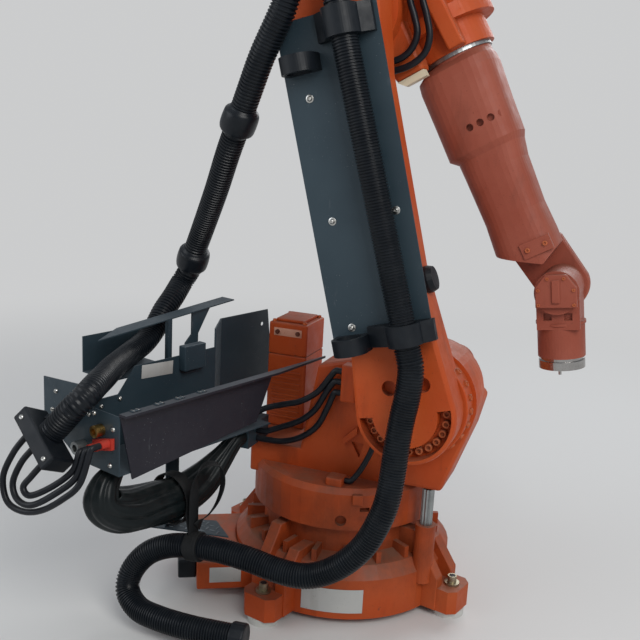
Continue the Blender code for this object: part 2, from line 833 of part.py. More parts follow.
def table_details():
    """The lugs on the turntable and the ledge beside the hub, and the cuts in both."""
    lug = soften(slab("lug", TABLE_LUG_LOW, TABLE_LUG_HIGH), EDGE)
    small = slab(
        "small_lug", (TABLE_RADIUS - OVERRUN, -TABLE_SMALL_LUG_HALF, TABLE_SMALL_LUG_LOW),
        (TABLE_RADIUS + TABLE_SMALL_LUG_PROUD, TABLE_SMALL_LUG_HALF, TABLE_SMALL_LUG_HIGH),
    )
    moved(soften(small, FINE_EDGE), turn_about("Z", TABLE_SMALL_LUG_BEARING))
    boss = slab(
        "boss", (CABLE_BOSS_REAR, -CABLE_BOSS_RIGHT, CABLE_BOSS_BOTTOM),
        (CABLE_BOSS_FRONT, OVERRUN - WEB_HALF_WIDTH, CABLE_BOSS_TOP),
    )
    ledge = prism("ledge", [
        (LEDGE_REAR, LEDGE_LOW + LEDGE_WIDTH), (LEDGE_REAR, LEDGE_LOW),
        (LEDGE_FRONT, LEDGE_LOW + LEDGE_RISE), (LEDGE_FRONT, LEDGE_LOW + LEDGE_RISE + LEDGE_WIDTH),
    ], -WEB_HALF_WIDTH - LEDGE_PROUD, OVERRUN - WEB_HALF_WIDTH)
    recess = rod(
        "recess", TABLE_RECESS_RADIUS, TABLE_RADIUS - TABLE_RECESS_DEPTH, TABLE_RADIUS + OVERRUN, "X",
        (0, 0, TABLE_RECESS_HEIGHT), SMALL_STEPS,
    )
    moved(recess, turn_about("Z", TABLE_RECESS_BEARING))
    slot = slab(
        "slot", (TABLE_RADIUS - TABLE_RECESS_DEPTH, -TABLE_SLOT_HALF, TABLE_SLOT_LOW),
        (TABLE_RADIUS + OVERRUN, TABLE_SLOT_HALF, TABLE_SLOT_HIGH),
    )
    moved(slot, turn_about("Z", TABLE_SLOT_BEARING))
    wedge = prism("wedge", [
        (WEDGE_REAR, WEDGE_TOP), (WEDGE_MID, WEDGE_TIP), (WEDGE_FRONT, WEDGE_TOP),
    ], -WEB_HALF_WIDTH - OVERRUN, POCKET_SINK - WEB_HALF_WIDTH)
    return (lug, small, soften(boss, EDGE), ledge), (recess, slot, wedge)


def frame_casting(parent):
    """The turntable, the web that carries axis 2 and the deck of the axis 1 motor."""
    casting = turned("frame_casting", [
        (0, COLUMN_TOP + SEAT), (TABLE_SPIGOT_RADIUS, COLUMN_TOP + SEAT),
        (TABLE_SPIGOT_RADIUS, TABLE_BOTTOM), (TABLE_RADIUS, TABLE_BOTTOM),
        (TABLE_RADIUS, TABLE_FLANGE_TOP), (TABLE_TOP_RADIUS, TABLE_TOP), (0, TABLE_TOP),
    ])
    near = web_layer(0, -WEB_HALF_WIDTH, OVERRUN - WEB_SPLIT)
    far = web_layer(WEB_SETBACK, -WEB_SPLIT, DRUM_LEFT - OVERRUN)
    drum = turned("drum", drum_profile(), "Y", (AXIS_2_FORWARD, 0, AXIS_2_HEIGHT))
    corner = MOTOR_DECK_REAR - MOTOR_DECK_CUT_BACK
    side = WEB_HALF_WIDTH - MOTOR_DECK_CUT_SIDE
    deck = prism("deck", [
        (-MOTOR_DECK_FRONT, -WEB_HALF_WIDTH), (-MOTOR_DECK_FRONT, WEB_HALF_WIDTH),
        (-corner, WEB_HALF_WIDTH), (-MOTOR_DECK_REAR, side), (-MOTOR_DECK_REAR, -side),
        (-corner, -WEB_HALF_WIDTH),
    ], MOTOR_DECK_BOTTOM, MOTOR_DECK_TOP, "Z")
    soften(deck, EDGE)
    added, cuts = table_details()
    fuse(casting, near, far, drum, deck, *added)
    carve(casting, *cuts)
    return finish(casting, parent, "orange_paint")


def axis2_gear_ring(parent):
    ring = rod(
        "axis2_gear_ring", GEAR_RING_RADIUS, -GEAR_RING_FACE, -DRUM_RIGHT - SEAT, "Y",
        (AXIS_2_FORWARD, 0, AXIS_2_HEIGHT),
    )
    return finish(soften(ring, FINE_EDGE, 1), parent, "orange_paint")


def axis1_motor(parent):
    """The upright motor behind the web, with its cover."""
    low = (MOTOR_X - MOTOR_WIDTH / 2, -MOTOR_RIGHT, MOTOR_DECK_TOP + SEAT)
    high = (MOTOR_X + MOTOR_WIDTH / 2, MOTOR_DEPTH - MOTOR_RIGHT, MOTOR_SEAM - SEAT)
    finish(soften(slab("axis1_motor", low, high), EDGE), parent, "orange_paint")
    cap = slab("axis1_motor_cover", (low[0], low[1], MOTOR_SEAM), (high[0], high[1], MOTOR_TOP))
    finish(soften(cap, EDGE), parent, "orange_paint")


def axis2_motor(parent):
    """The motor on the left of the drum, which turns the lower arm."""
    centre = (AXIS_2_FORWARD, 0, AXIS_2_HEIGHT)
    face = DRUM_LEFT + SEAT
    motor = rod("axis2_motor", AXIS_2_COVER_RADIUS, face, face + AXIS_2_COVER_DEPTH, "Y", centre)
    half = AXIS_2_MOTOR_SIZE / 2
    block = slab(
        "block", (AXIS_2_FORWARD - half, face + AXIS_2_COVER_DEPTH - OVERRUN, AXIS_2_HEIGHT - half),
        (AXIS_2_FORWARD + half, face + AXIS_2_MOTOR_LENGTH, AXIS_2_HEIGHT + half),
    )
    fuse(motor, soften(block, EDGE))
    return finish(motor, parent, "orange_paint")


def bracket_stay(parent):
    """The foot of the rear bracket, on the motor deck."""
    stay = slab(
        "bracket_stay", (-STAY_REAR, -STAY_RIGHT, MOTOR_DECK_TOP + SEAT),
        (-STAY_FRONT, -STAY_LEFT, TRAY_FLOOR_HEIGHT - SEAT),
    )
    finish(stay, parent, "slate_sheet")


def bracket_tray(frame):
    """The dark sheet-metal tray behind the arm: floor, back, side flange, ear and latch."""
    floor = slab(
        "bracket_tray", (-TRAY_DEPTH - SHEET, -TRAY_NEAR + SHEET + SEAT, TRAY_FLOOR_HEIGHT),
        (-SHEET - SEAT, -TRAY_FAR, TRAY_FLOOR_HEIGHT + SHEET),
    )
    near = -TRAY_NEAR + SHEET + SEAT
    back = prism("back", [
        (near, TRAY_FLOOR_HEIGHT), (near, BACK_NEAR_TOP), (-BACK_SLOPE_END, BACK_NEAR_TOP),
        (-BACK_SLOPE_START, TRAY_BACK_TOP), (-FLANGE_START, TRAY_BACK_TOP),
        (-FLANGE_START, TRAY_FLOOR_HEIGHT),
    ], -TRAY_DEPTH - SHEET, -TRAY_DEPTH, "X")
    flange = prism("flange", [
        (-TRAY_DEPTH - SHEET, -FLANGE_START - SHEET), (-TRAY_DEPTH, -FLANGE_START),
        (-EAR_OFFSET, -EAR_NEAR), (-EAR_OFFSET - SHEET, -EAR_NEAR - SHEET),
    ], TRAY_FLOOR_HEIGHT, EAR_TOP, "Z")
    ear = prism("ear", [
        (-EAR_NEAR - SHEET, EAR_BOTTOM), (-EAR_NEAR - SHEET, EAR_TOP), (-EAR_FAR, EAR_TOP),
        (-EAR_FAR + EAR_SLANT, EAR_BOTTOM),
    ], -EAR_OFFSET - SHEET, -EAR_OFFSET, "X")
    latch = slab(
        "latch", (-TRAY_DEPTH - SHEET / 2, -LATCH_NEAR, LATCH_BOTTOM),
        (LATCH_DEPTH - TRAY_DEPTH, -LATCH_FAR, LATCH_TOP),
    )
    tray = fuse(floor, back, flange, ear, soften(latch, FINE_EDGE))
    hole = rod(
        "hole", EAR_HOLE_RADIUS, -EAR_OFFSET - OVERRUN, OVERRUN - EAR_OFFSET, "X",
        (0, -EAR_FAR - EAR_HOLE_INSET, EAR_TOP - EAR_HOLE_DROP), SMALL_STEPS,
    )
    finish(carve(tray, hole), frame, "slate_sheet")


def bracket_panels(frame):
    """The front panel with its long lip, and the end panel."""
    panel = prism("front_panel", [
        (-TRAY_NEAR, TRAY_EDGE_HEIGHT - SHEET), (-FRONT_NEAR_LOW, FRONT_NEAR_BOTTOM),
        (-FRONT_FAR_LOW, FRONT_FAR_BOTTOM), (-TRAY_FAR, TRAY_EDGE_HEIGHT - SHEET),
    ], -SHEET, 0, "X")
    lip = prism("lip", [
        (-SHEET, -TRAY_NEAR), (LIP_WIDTH, -TRAY_NEAR), (LIP_WIDTH, -TRAY_FAR), (0, -LIP_TIP),
        (-SHEET, -LIP_TIP),
    ], TRAY_EDGE_HEIGHT - SHEET - SHEET, TRAY_EDGE_HEIGHT, "Z")
    finish(fuse(panel, lip), frame, "plum_sheet")
    end = prism("end_panel", [
        (-END_DEPTH, END_REAR_TOP), (-END_DEPTH, END_REAR_BOTTOM), (-TRAY_DEPTH, END_BOTTOM),
        (-SHEET - SEAT, END_BOTTOM), (-SHEET - SEAT, END_NOTCH_TOP), (-END_NOTCH_OFFSET, END_NOTCH_TOP),
        (-END_NOTCH_OFFSET, END_MID_TOP),
    ], -TRAY_NEAR, -TRAY_NEAR + SHEET)
    finish(end, frame, "slate_sheet")


def top_plate(frame):
    """The sloping plate over the rear hose, with its post, hose chute and hook."""
    slope = (TOP_FAR_HEIGHT - TOP_NEAR_HEIGHT) / (TOP_NEAR - TOP_FAR)
    outline = [
        (-TOP_OFFSET, -TOP_NEAR), (-TOP_OFFSET, -TOP_FAR), (-TOP_REAR_OFFSET, -TOP_FAR),
        (-TOP_REAR_OFFSET, -TOP_NEAR_REAR),
    ]
    plate = prism("top_plate", outline, -SHEET, 0, "Z")
    for vertex in plate.data.vertices:
        vertex.co.z += TOP_NEAR_HEIGHT + slope * (vertex.co.y + TOP_NEAR)
    post_top = TOP_NEAR_HEIGHT + slope * (TOP_NEAR - POST_NEAR) - SHEET / 2
    post = slab(
        "post", (-TOP_OFFSET - POST_WIDTH, -POST_NEAR, CHUTE_BOTTOM),
        (-TOP_OFFSET, -POST_FAR, post_top),
    )
    foot = slab(
        "foot", (-TOP_OFFSET - POST_WIDTH, -POST_NEAR, CHUTE_BOTTOM),
        (-TRAY_DEPTH - SHEET - SEAT, -POST_FAR, CHUTE_BOTTOM + POST_WIDTH),
    )
    floor = slab(
        "floor", (-CHUTE_OFFSET, -CHUTE_NEAR, CHUTE_BOTTOM), (-TOP_OFFSET, -POST_FAR, CHUTE_BOTTOM + SHEET),
    )
    wall = slab(
        "wall", (-CHUTE_OFFSET, -CHUTE_NEAR, CHUTE_BOTTOM),
        (SHEET - CHUTE_OFFSET, -POST_FAR, CHUTE_TOP),
    )
    hook = prism("hook", [
        (-HOOK_ROOT_NEAR, TOP_NEAR_HEIGHT + slope * (TOP_NEAR - HOOK_ROOT_NEAR) - SHEET / 2),
        (-HOOK_NECK_NEAR, HOOK_BEND), (-HOOK_TIP_NEAR, HOOK_TIP_HIGH), (-HOOK_TIP_NEAR, HOOK_TIP_LOW),
        (-HOOK_TIP_FAR, HOOK_TIP_LOW), (-HOOK_NECK_FAR, HOOK_TIP_HIGH), (-HOOK_NECK_FAR, HOOK_BEND),
        (-HOOK_ROOT_FAR, TOP_NEAR_HEIGHT + slope * (TOP_NEAR - HOOK_ROOT_FAR) - SHEET / 2),
    ], -TOP_OFFSET - HOOK_SETBACK - HOOK_THICKNESS, -TOP_OFFSET - HOOK_SETBACK, "X")
    finish(fuse(plate, post, foot, floor, wall, hook), frame, "slate_sheet")


def rear_clamp_frame():
    return towards(REAR_CLAMP_PLACE, REAR_CLAMP_TOWARD, REAR_CLAMP_ACROSS)


def rear_clamp(frame):
    """The black block where the upper hose ends and its cables come out."""
    block = slab(
        "rear_clamp", (-REAR_CLAMP_HALF, -REAR_CLAMP_HALF_WIDTH, 0),
        (REAR_CLAMP_HALF, REAR_CLAMP_HALF_WIDTH, REAR_CLAMP_LENGTH),
    )
    moved(soften(block, EDGE), rear_clamp_frame())
    foot = slab(
        "foot", REAR_CLAMP_FOOT_LOW,
        (REAR_CLAMP_FOOT_HIGH[0], -TRAY_NEAR - SEAT, REAR_CLAMP_FOOT_HIGH[2]),
    )
    finish(fuse(block, foot), frame, "black_plastic")


def fittings(frame):
    """The brass, steel and red couplers on the end panel."""
    face = -TRAY_NEAR - SEAT
    for name, spot, radius, length in (
        ("fitting_brass", BRASS_PLACE, BRASS_RADIUS, BRASS_LENGTH),
        ("fitting_steel", STEEL_PLACE, STEEL_RADIUS, STEEL_LENGTH),
    ):
        bore = radius * COUPLER_BORE_SHARE
        coupler = turned(name, [
            (0, -length / 2), (bore, -length / 2), (bore, -length), (radius, -length), (radius, 0), (0, 0),
        ], "Y", (spot[0], face, spot[1]), SMALL_STEPS)
        finish(coupler, frame, "brass" if spot == BRASS_PLACE else "grey_steel")
    edge = RED_BASE_EDGE
    right, left = RED_SPOTS[0], RED_SPOTS[-1]
    base = prism("fitting_red", [
        (right[0] + edge, right[1] - edge), (right[0] + edge, right[1] + edge),
        (left[0] - edge, left[1] + edge), (left[0] - edge, left[1] - edge),
    ], face - RED_BASE_LENGTH, face)
    rods = []
    for x, z in RED_SPOTS:
        rods.append(rod(
            "coupler", RED_RADIUS, -RED_LENGTH, -RED_BASE_LENGTH / 2, "Y", (x, face, z), SMALL_STEPS,
        ))
    finish(fuse(base, *rods), frame, "red_fitting")


def rear_cables(frame):
    """The cables that loop from the rear clamp back to the red couplers."""
    out = rear_clamp_frame()
    face = -TRAY_NEAR - SEAT - RED_LENGTH - SEAT
    routes = (
        [(-0.312, -1.247, 0.632), (-0.335, -1.268, 0.555), (-0.308, -1.274, 0.487),
         (-0.248, -1.262, 0.468), (-0.175, -1.245, 0.488), (-0.098, -1.225, 0.541), (-0.059, -1.189, 0.594)],
        [(-0.266, -1.25, 0.615), (-0.280, -1.27, 0.553), (-0.250, -1.275, 0.510), (-0.195, -1.262, 0.505),
         (-0.121, -1.228, 0.556), (-0.079, -1.187, 0.608)],
        [(-0.203, -1.258, 0.592), (-0.217, -1.276, 0.560), (-0.190, -1.270, 0.540), (-0.140, -1.225, 0.572),
         (-0.098, -1.185, 0.622)],
    )
    for number, (route, x, spot) in enumerate(zip(routes, REAR_CABLE_STARTS, RED_SPOTS), 1):
        start = [out @ Vector((x, 0, REAR_CLAMP_LENGTH + reach)) for reach in (SEAT, REAR_CABLE_LEAD)]
        end = [(spot[0], face - REAR_CABLE_LEAD, spot[1]), (spot[0], face, spot[1])]
        cable = tube(f"rear_cable_{number}", start + route + end, REAR_CABLE_RADIUS, resolution=2)
        finish(cable, frame, "black_cable")


def cable_bundle(parent):
    """The wrapped bundle of cables that hangs under the tray."""
    route = [
        (-0.498, -0.798, 0.5997, 0.42), (-0.498, -0.798, 0.575, 0.46), (-0.508, -0.835, 0.535, 0.66),
        (-0.507, -0.845, 0.485, 0.84), (-0.485, -0.77, 0.435, 1), (-0.453, -0.654, 0.413, 1),
        (-0.42, -0.548, 0.405, 0.98), (-0.382, -0.452, 0.43, 0.86), (-0.343, -0.378, 0.492, 0.6),
        (-0.308, -0.332, 0.555, 0.42), (-0.3025, -0.3203, 0.56, 0.42), (-0.3025, -0.3003, 0.56, 0.42),
    ]
    finish(tube("cable_bundle", route, BUNDLE_RADIUS, BUNDLE_SPACING, 4), parent, "black_film")


def chequer_plate(frame):
    """The small tread plate under the bundle, on its hanger strip."""
    plate = prism("chequer_plate", CHEQUER_OUTLINE, CHEQUER_TOP - CHEQUER_THICKNESS, CHEQUER_TOP, "Z")
    hanger = slab(
        "hanger", (-CHEQUER_HANGER_OFFSET - SHEET, -CHEQUER_HANGER_NEAR, CHEQUER_TOP - SHEET),
        (-CHEQUER_HANGER_OFFSET, -CHEQUER_HANGER_FAR, TRAY_FLOOR_HEIGHT - SEAT),
    )
    finish(fuse(plate, hanger), frame, "slate_sheet")


def hose_strap(frame):
    """The strip that hangs from the front panel and carries the lower hose in its ring."""
    strip = slab(
        "hose_strap", (SEAT, -STRAP_NEAR, STRAP_RING_PLACE[2] + HOSE_RADIUS + STRAP_RING_WALL / 2),
        (SEAT + STRAP_THICKNESS, -STRAP_FAR, STRAP_TOP),
    )
    outer = HOSE_RADIUS + STRAP_RING_WALL
    ring = turned("ring", [
        (HOSE_RADIUS + STRAP_RING_GAP, -STRAP_RING_HALF), (outer, -STRAP_RING_HALF),
        (outer, STRAP_RING_HALF), (HOSE_RADIUS + STRAP_RING_GAP, STRAP_RING_HALF),
    ], steps=SMALL_STEPS)
    moved(ring, towards(STRAP_RING_PLACE, STRAP_RING_TOWARD, (0, 1, 0)))
    finish(fuse(strip, ring), frame, "black_plastic")


def drive_cables(parent):
    """The three cables from the bracket to the boss beside axis 2, and the one to the gear ring."""
    y = -DRIVE_CABLE_SIDE
    end = CABLE_BOSS_REAR - SEAT
    start = -STAY_FRONT + SEAT
    routes = (
        [(-0.33, -0.26, 0.6153), (-0.305, -0.25, 0.6153), (-0.245, y, 0.655), (-0.175, y, 0.682),
         (-0.107, y, 0.706), (-0.045, y, 0.750), (-0.003, y, 0.808), (0.02, y, 0.838), (end, y, 0.838)],
        [(start, y, 0.57), (-0.24, y, 0.57), (-0.175, y, 0.598), (-0.104, y, 0.635), (-0.05, y, 0.685),
         (-0.012, y, 0.755), (0.018, y, 0.799), (end, y, 0.799)],
        [(start, y, 0.54), (-0.235, y, 0.54), (-0.17, y, 0.545), (-0.101, y, 0.572), (-0.04, y, 0.625),
         (-0.005, y, 0.698), (0.02, y, 0.760), (end, y, 0.760)],
    )
    for number, route in enumerate(routes, 1):
        cable = tube(f"drive_cable_{number}", route, DRIVE_CABLE_RADIUS, resolution=2)
        finish(cable, parent, "black_cable")
    rim = Vector((AXIS_2_FORWARD, 0, AXIS_2_HEIGHT))
    inward = Vector((HUB_CABLE_END[0], 0, HUB_CABLE_END[1]))
    side = Vector((0, -HUB_CABLE_SIDE, 0))
    ends = [rim + side + inward * (GEAR_RING_RADIUS + reach) for reach in (REAR_CABLE_LEAD, SEAT)]
    lug = TABLE_LUG_HIGH[0] + SEAT
    route = [(lug, -0.275, 0.464), (lug + HUB_CABLE_RADIUS * 2, -0.275, 0.464), (0.138, -0.265, 0.503),
             (0.162, -0.255, 0.555)]
    finish(tube("hub_cable", route + ends, HUB_CABLE_RADIUS, resolution=2), parent, "black_cable")


def arm_end(height, reach=0):
    """The place where the arm's hose ends, or a point on its line beyond that."""
    low = Vector((HOSE_LOW_X, hose_y(), HOSE_LOW_Z))
    high = Vector((HOSE_HIGH_X, hose_y(), HOSE_HIGH_Z))
    line = (high - low).normalized()
    local = high + line * reach if height == HOSE_HIGH_Z else low - line * reach
    place = Matrix.Translation((AXIS_2_FORWARD, 0, AXIS_2_HEIGHT)) @ turn_about("Y", LOWER_ARM_LEAN)
    return place @ local


def lower_hose(parent):
    """The hose from the arm down past the base, through the strap, to the loop and its cuff."""
    route = [
        (0.345, -0.495, 0.87), (0.336, -0.50, 0.807), (0.329, -0.51, 0.719), (0.325, -0.52, 0.63),
        (0.318, -0.535, 0.542), (0.299, -0.55, 0.47), (0.263, -0.565, 0.391), (0.209, -0.58, 0.327),
        (0.139, -0.59, 0.277), (0.068, -0.60, 0.256), (-0.016, -0.60, 0.256), (-0.116, -0.60, 0.270),
        (-0.219, -0.60, 0.276), (-0.3126, -0.5992, 0.270), (-0.405, -0.602, 0.252),
        (-0.485, -0.612, 0.211), (-0.535, -0.632, 0.145), (-0.535, -0.66, 0.085), (-0.475, -0.69, 0.048),
        (-0.385, -0.71, 0.045), (-0.28, -0.715, 0.045), (-0.19, -0.708, 0.045), (-0.122, -0.70, 0.045),
    ]
    start = [arm_end(HOSE_LOW_Z, reach) for reach in (SEAT, HOSE_LEAD)]
    hose = tube("lower_hose", start + route, HOSE_RADIUS, HOSE_SPACING, 4)
    finish(hose, parent, "black_hose")
    tip = Vector(route[-1])
    toward = tip - Vector(route[-2])
    cuff = rod("hose_cuff", CUFF_RADIUS, SEAT, CUFF_LENGTH, steps=SMALL_STEPS)
    moved(soften(cuff, EDGE), towards(tip, toward, (0, 0, 1)))
    finish(cuff, parent, "black_plastic")


def upper_hose(parent, frame_place):
    """The hose from the top of the arm, over and down through the chute to the rear clamp."""
    route = [
        (0.008, -0.500, 2.112, 1), (-0.042, -0.505, 2.124, 1), (-0.085, -0.508, 2.073, 1),
        (-0.113, -0.508, 1.984, 1), (-0.184, -0.483, 1.858, 1), (-0.234, -0.455, 1.760, 1),
        (-0.262, -0.437, 1.706, 1), (-0.272, -0.430, 1.684, SLEEVED_RADIUS_SHARE),
        (-0.298, -0.412, 1.638, SLEEVED_RADIUS_SHARE), (-0.308, -0.404, 1.619, 1),
        (-0.350, -0.370, 1.547, 1), (-0.423, -0.300, 1.424, 1),
        (-0.518, -0.21, 1.28, 1),
        (-0.562, -0.178, 1.202, 1), (-0.573, -0.169, 1.18, SLEEVED_RADIUS_SHARE),
        (-0.595, -0.152, 1.133, SLEEVED_RADIUS_SHARE), (-0.604, -0.148, 1.11, 1),
    ]
    lower = [
        (-0.42, -0.452, 1.062, 1), (-0.395, -0.518, 1.018, 1), (-0.385, -0.572, 0.975, 1),
        (-0.372, -0.625, 0.922, 1), (-0.352, -0.69, 0.885, 1), (-0.325, -0.777, 0.864, 1),
        (-0.288, -0.848, 0.858, 1), (-0.238, -0.926, 0.858, 1), (-0.185, -1.0, 0.856, 1),
        (-0.138, -1.072, 0.852, 1), (-0.112, -1.128, 0.836, 1), (-0.130, -1.158, 0.802, 1),
    ]
    start = [(*arm_end(HOSE_HIGH_Z, reach), 1) for reach in (SEAT, HOSE_LEAD)]
    clamp = rear_clamp_frame()
    end = [(*(frame_place @ clamp @ Vector((0, 0, -reach))), 1) for reach in (HOSE_END_LEAD, SEAT)]
    lower = [(*(frame_place @ Vector(point[:3])), point[3]) for point in lower]
    hose = tube("upper_hose", start + route + lower + end, HOSE_RADIUS, HOSE_SPACING, 4)
    finish(hose, parent, "black_hose")


# Lower arm pieces


def arm_outline():
    """The side view of the lower arm, hub at the bottom and head at the top."""
    right = [
        (ARM_SHOULDER, ARM_SHOULDER_HEIGHT), (ARM_WAIST, ARM_WAIST_START), (ARM_WAIST, ARM_WAIST_END),
    ]
    left = [(-x, z) for x, z in reversed(right)]
    bottom = arc(HUB_RADIUS, -QUARTER * 2, 0, SMALL_STEPS)
    top = arc(ARM_HEAD_RADIUS, 0, QUARTER * 2, SMALL_STEPS, (0, ARM_HEAD_HEIGHT))
    return bottom + right + top + left


def sector(name, inner, outer, first, last, low, high):
    """A curved band of a ring between two angles, cut along Y."""
    outline = arc(outer, first, last, SECTOR_STEPS) + arc(inner, last, first, SECTOR_STEPS)
    return prism(name, outline, low, high)


def lower_arm_casting(parent):
    """The cast lower arm, flat on its right face, with bolt pockets round the hub."""
    casting = prism("lower_arm_casting", arm_outline(), -ARM_FACE, ARM_THICKNESS - ARM_FACE)
    soften(casting, CAST_EDGE, angle=SHARP)
    seat = rod(
        "seat", HUB_CLEAR_RADIUS, -GEAR_RING_FACE - RUNNING_GAP, ARM_THICKNESS - ARM_FACE + OVERRUN, "Y",
    )
    cuts = [seat]
    for first, last in (CRESCENT_RIGHT, CRESCENT_LEFT):
        cuts.append(sector(
            "crescent", CRESCENT_INNER, CRESCENT_OUTER, first, last,
            -ARM_FACE - OVERRUN, CRESCENT_DEPTH - ARM_FACE,
        ))
    for side in (-1, 1):
        cuts.append(rod(
            "pocket", POCKET_RADIUS, -ARM_FACE - OVERRUN, POCKET_DEPTH - ARM_FACE, "Y",
            (POCKET_SHIFT + side * POCKET_SPREAD, 0, POCKET_HEIGHT), SMALL_STEPS,
        ))
    carve(casting, *cuts)
    hub = rod(
        "hub", HUB_SPIGOT_RADIUS, -GEAR_RING_FACE - RUNNING_GAP - OVERRUN, -GEAR_RING_FACE - SEAT, "Y",
    )
    head = rod(
        "head", UPPER_SPIGOT_RADIUS, ARM_THICKNESS - ARM_FACE - OVERRUN, -HEAD_RIGHT - SEAT, "Y",
        (0, 0, LOWER_ARM_LENGTH),
    )
    fuse(casting, hub, head)
    return finish(casting, parent, "orange_paint")


def rubber_stop(parent):
    """The dark rubber buffer on the front edge of the arm."""
    edge = ARM_SHOULDER + (ARM_WAIST - ARM_SHOULDER) * (
        (STOP_HEIGHT - ARM_SHOULDER_HEIGHT) / (ARM_WAIST_START - ARM_SHOULDER_HEIGHT)
    )
    slant = math.degrees(math.atan(
        (ARM_SHOULDER - ARM_WAIST) / (ARM_WAIST_START - ARM_SHOULDER_HEIGHT)
    ))
    stop = turned("rubber_stop", [
        (0, SEAT), (STOP_RADIUS, SEAT), (STOP_RADIUS, STOP_DEPTH / 2),
        (STOP_RADIUS - EDGE, STOP_DEPTH), (0, STOP_DEPTH),
    ], "X", steps=SMALL_STEPS)
    place = Matrix.Translation((edge, -STOP_RIGHT, STOP_HEIGHT)) @ turn_about("Y", -slant)
    return finish(moved(stop, place), parent, "black_plastic")


def arm_plate(parent):
    """The dark plate on the lower arm, on its spacers."""
    face = -ARM_FACE - PLATE_STANDOFF
    plate = slab(
        "arm_plate", (PLATE_REAR, face - PLATE_THICKNESS, PLATE_BOTTOM), (PLATE_FRONT, face, PLATE_TOP),
    )
    spacers = []
    for height in SPACER_ROW:
        for x in (SPACER_REAR, SPACER_FRONT):
            spacers.append(rod(
                "spacer", SPACER_RADIUS, face - SHEET / 2, -ARM_FACE - SEAT, "Y", (x, 0, height),
                SMALL_STEPS,
            ))
    return finish(fuse(plate, *spacers), parent, "slate_sheet")


def arm_hose_x(height):
    """How far forward the hose runs at this height of the arm."""
    share = (height - HOSE_LOW_Z) / (HOSE_HIGH_Z - HOSE_LOW_Z)
    return HOSE_LOW_X + (HOSE_HIGH_X - HOSE_LOW_X) * share


def hose_y():
    return -ARM_FACE - PLATE_STANDOFF - PLATE_THICKNESS - HOSE_LIFT - HOSE_RADIUS


def hose_clamp(name, parent, low, height, rear_ear):
    """A plastic clamp that holds the hose down on the plate."""
    face = -ARM_FACE - PLATE_STANDOFF - PLATE_THICKNESS - SEAT
    x = arm_hose_x(low + height / 2)
    y = hose_y()
    reach = HOSE_RADIUS + CLAMP_WALL
    outline = [(x - reach - rear_ear, face), (x - reach - rear_ear, face - CLAMP_EAR_DEPTH)]
    outline += arc(reach, QUARTER * 2, QUARTER * 4, SMALL_STEPS, (x, y))
    outline += [(x + reach + CLAMP_EAR, face - CLAMP_EAR_DEPTH), (x + reach + CLAMP_EAR, face)]
    clamp = prism(name, outline, low, low + height, "Z")
    bore = rod("bore", HOSE_RADIUS + SEAT, -height, height)
    lean = Matrix.Identity(4)
    lean[0][2] = (HOSE_HIGH_X - HOSE_LOW_X) / (HOSE_HIGH_Z - HOSE_LOW_Z)
    moved(bore, Matrix.Translation((x, y, low + height / 2)) @ lean)
    return finish(carve(clamp, bore), parent, "black_plastic")


def spare_clip(name, parent, low):
    """An empty clip beside the hose."""
    face = -ARM_FACE - PLATE_STANDOFF - PLATE_THICKNESS - SEAT
    y = face - SPARE_RADIUS
    outer = SPARE_RADIUS + SPARE_WALL
    outline = [(SPARE_X - outer, face)] + arc(outer, QUARTER * 2, QUARTER * 4, SMALL_STEPS, (SPARE_X, y))
    outline += [(SPARE_X + outer, face)]
    clip = prism(name, outline, low, low + SPARE_HEIGHT, "Z")
    bore = rod(
        "bore", SPARE_RADIUS - SPARE_WALL, low - OVERRUN, low + SPARE_HEIGHT + OVERRUN, "Z",
        (SPARE_X, y, 0), SMALL_STEPS,
    )
    return finish(carve(clip, bore), parent, "black_plastic")


def arm_hose(parent):
    y = hose_y()
    low = Vector((HOSE_LOW_X, y, HOSE_LOW_Z))
    high = Vector((HOSE_HIGH_X, y, HOSE_HIGH_Z))
    points = [low.lerp(high, i / ARM_HOSE_SPANS) for i in range(ARM_HOSE_SPANS + 1)]
    return finish(tube("arm_hose", points, HOSE_RADIUS, resolution=4), parent, "black_hose")


# Upper arm pieces


def upper_arm_casting(parent):
    """The housing on top of the lower arm, with its barrel, collar, fin and lower bar."""
    casting = rod("upper_arm_casting", UPPER_DRUM_RADIUS, -HEAD_RIGHT, UPPER_LEFT, "Y")
    barrel = turned("barrel", [
        (0, BARREL_REAR), (BARREL_RADIUS, BARREL_REAR), (BARREL_RADIUS, COLLAR_REAR),
        (COLLAR_RADIUS, COLLAR_REAR), (COLLAR_RADIUS, COLLAR_FRONT), (NECK_RADIUS, COLLAR_FRONT),
        (NECK_RADIUS, NECK_FRONT), (0, NECK_FRONT),
    ], "X", (0, 0, FOREARM_RISE))
    block = slab(
        "block", (EDGE - UPPER_DRUM_RADIUS, -UPPER_RIGHT, 0),
        (UPPER_DRUM_RADIUS - EDGE, UPPER_LEFT - FINE_EDGE, FOREARM_RISE + BLOCK_RISE),
    )
    soften(block, CAST_EDGE)
    bar = slab("bar", (BAR_REAR, -BAR_RIGHT, BAR_LOW), (BAR_FRONT, -BAR_LEFT, BAR_HIGH))
    soften(bar, CAST_EDGE)
    room = rod(
        "room", BAR_CLEAR_RADIUS, NECK_FRONT - EDGE, BAR_FRONT + OVERRUN, "X", (0, 0, FOREARM_RISE),
    )
    carve(bar, room)
    fin = prism("fin", [
        (FIN_REAR, -FIN_ROOT), (FIN_REAR, -FIN_RIGHT), (FIN_MID, -FIN_RIGHT), (FIN_FRONT, -FIN_TIP),
        (FIN_FRONT, -FIN_ROOT),
    ], FIN_LOW, FIN_HIGH, "Z")
    fuse(casting, block, barrel, bar, soften(fin, EDGE))
    return finish(casting, parent, "orange_paint")


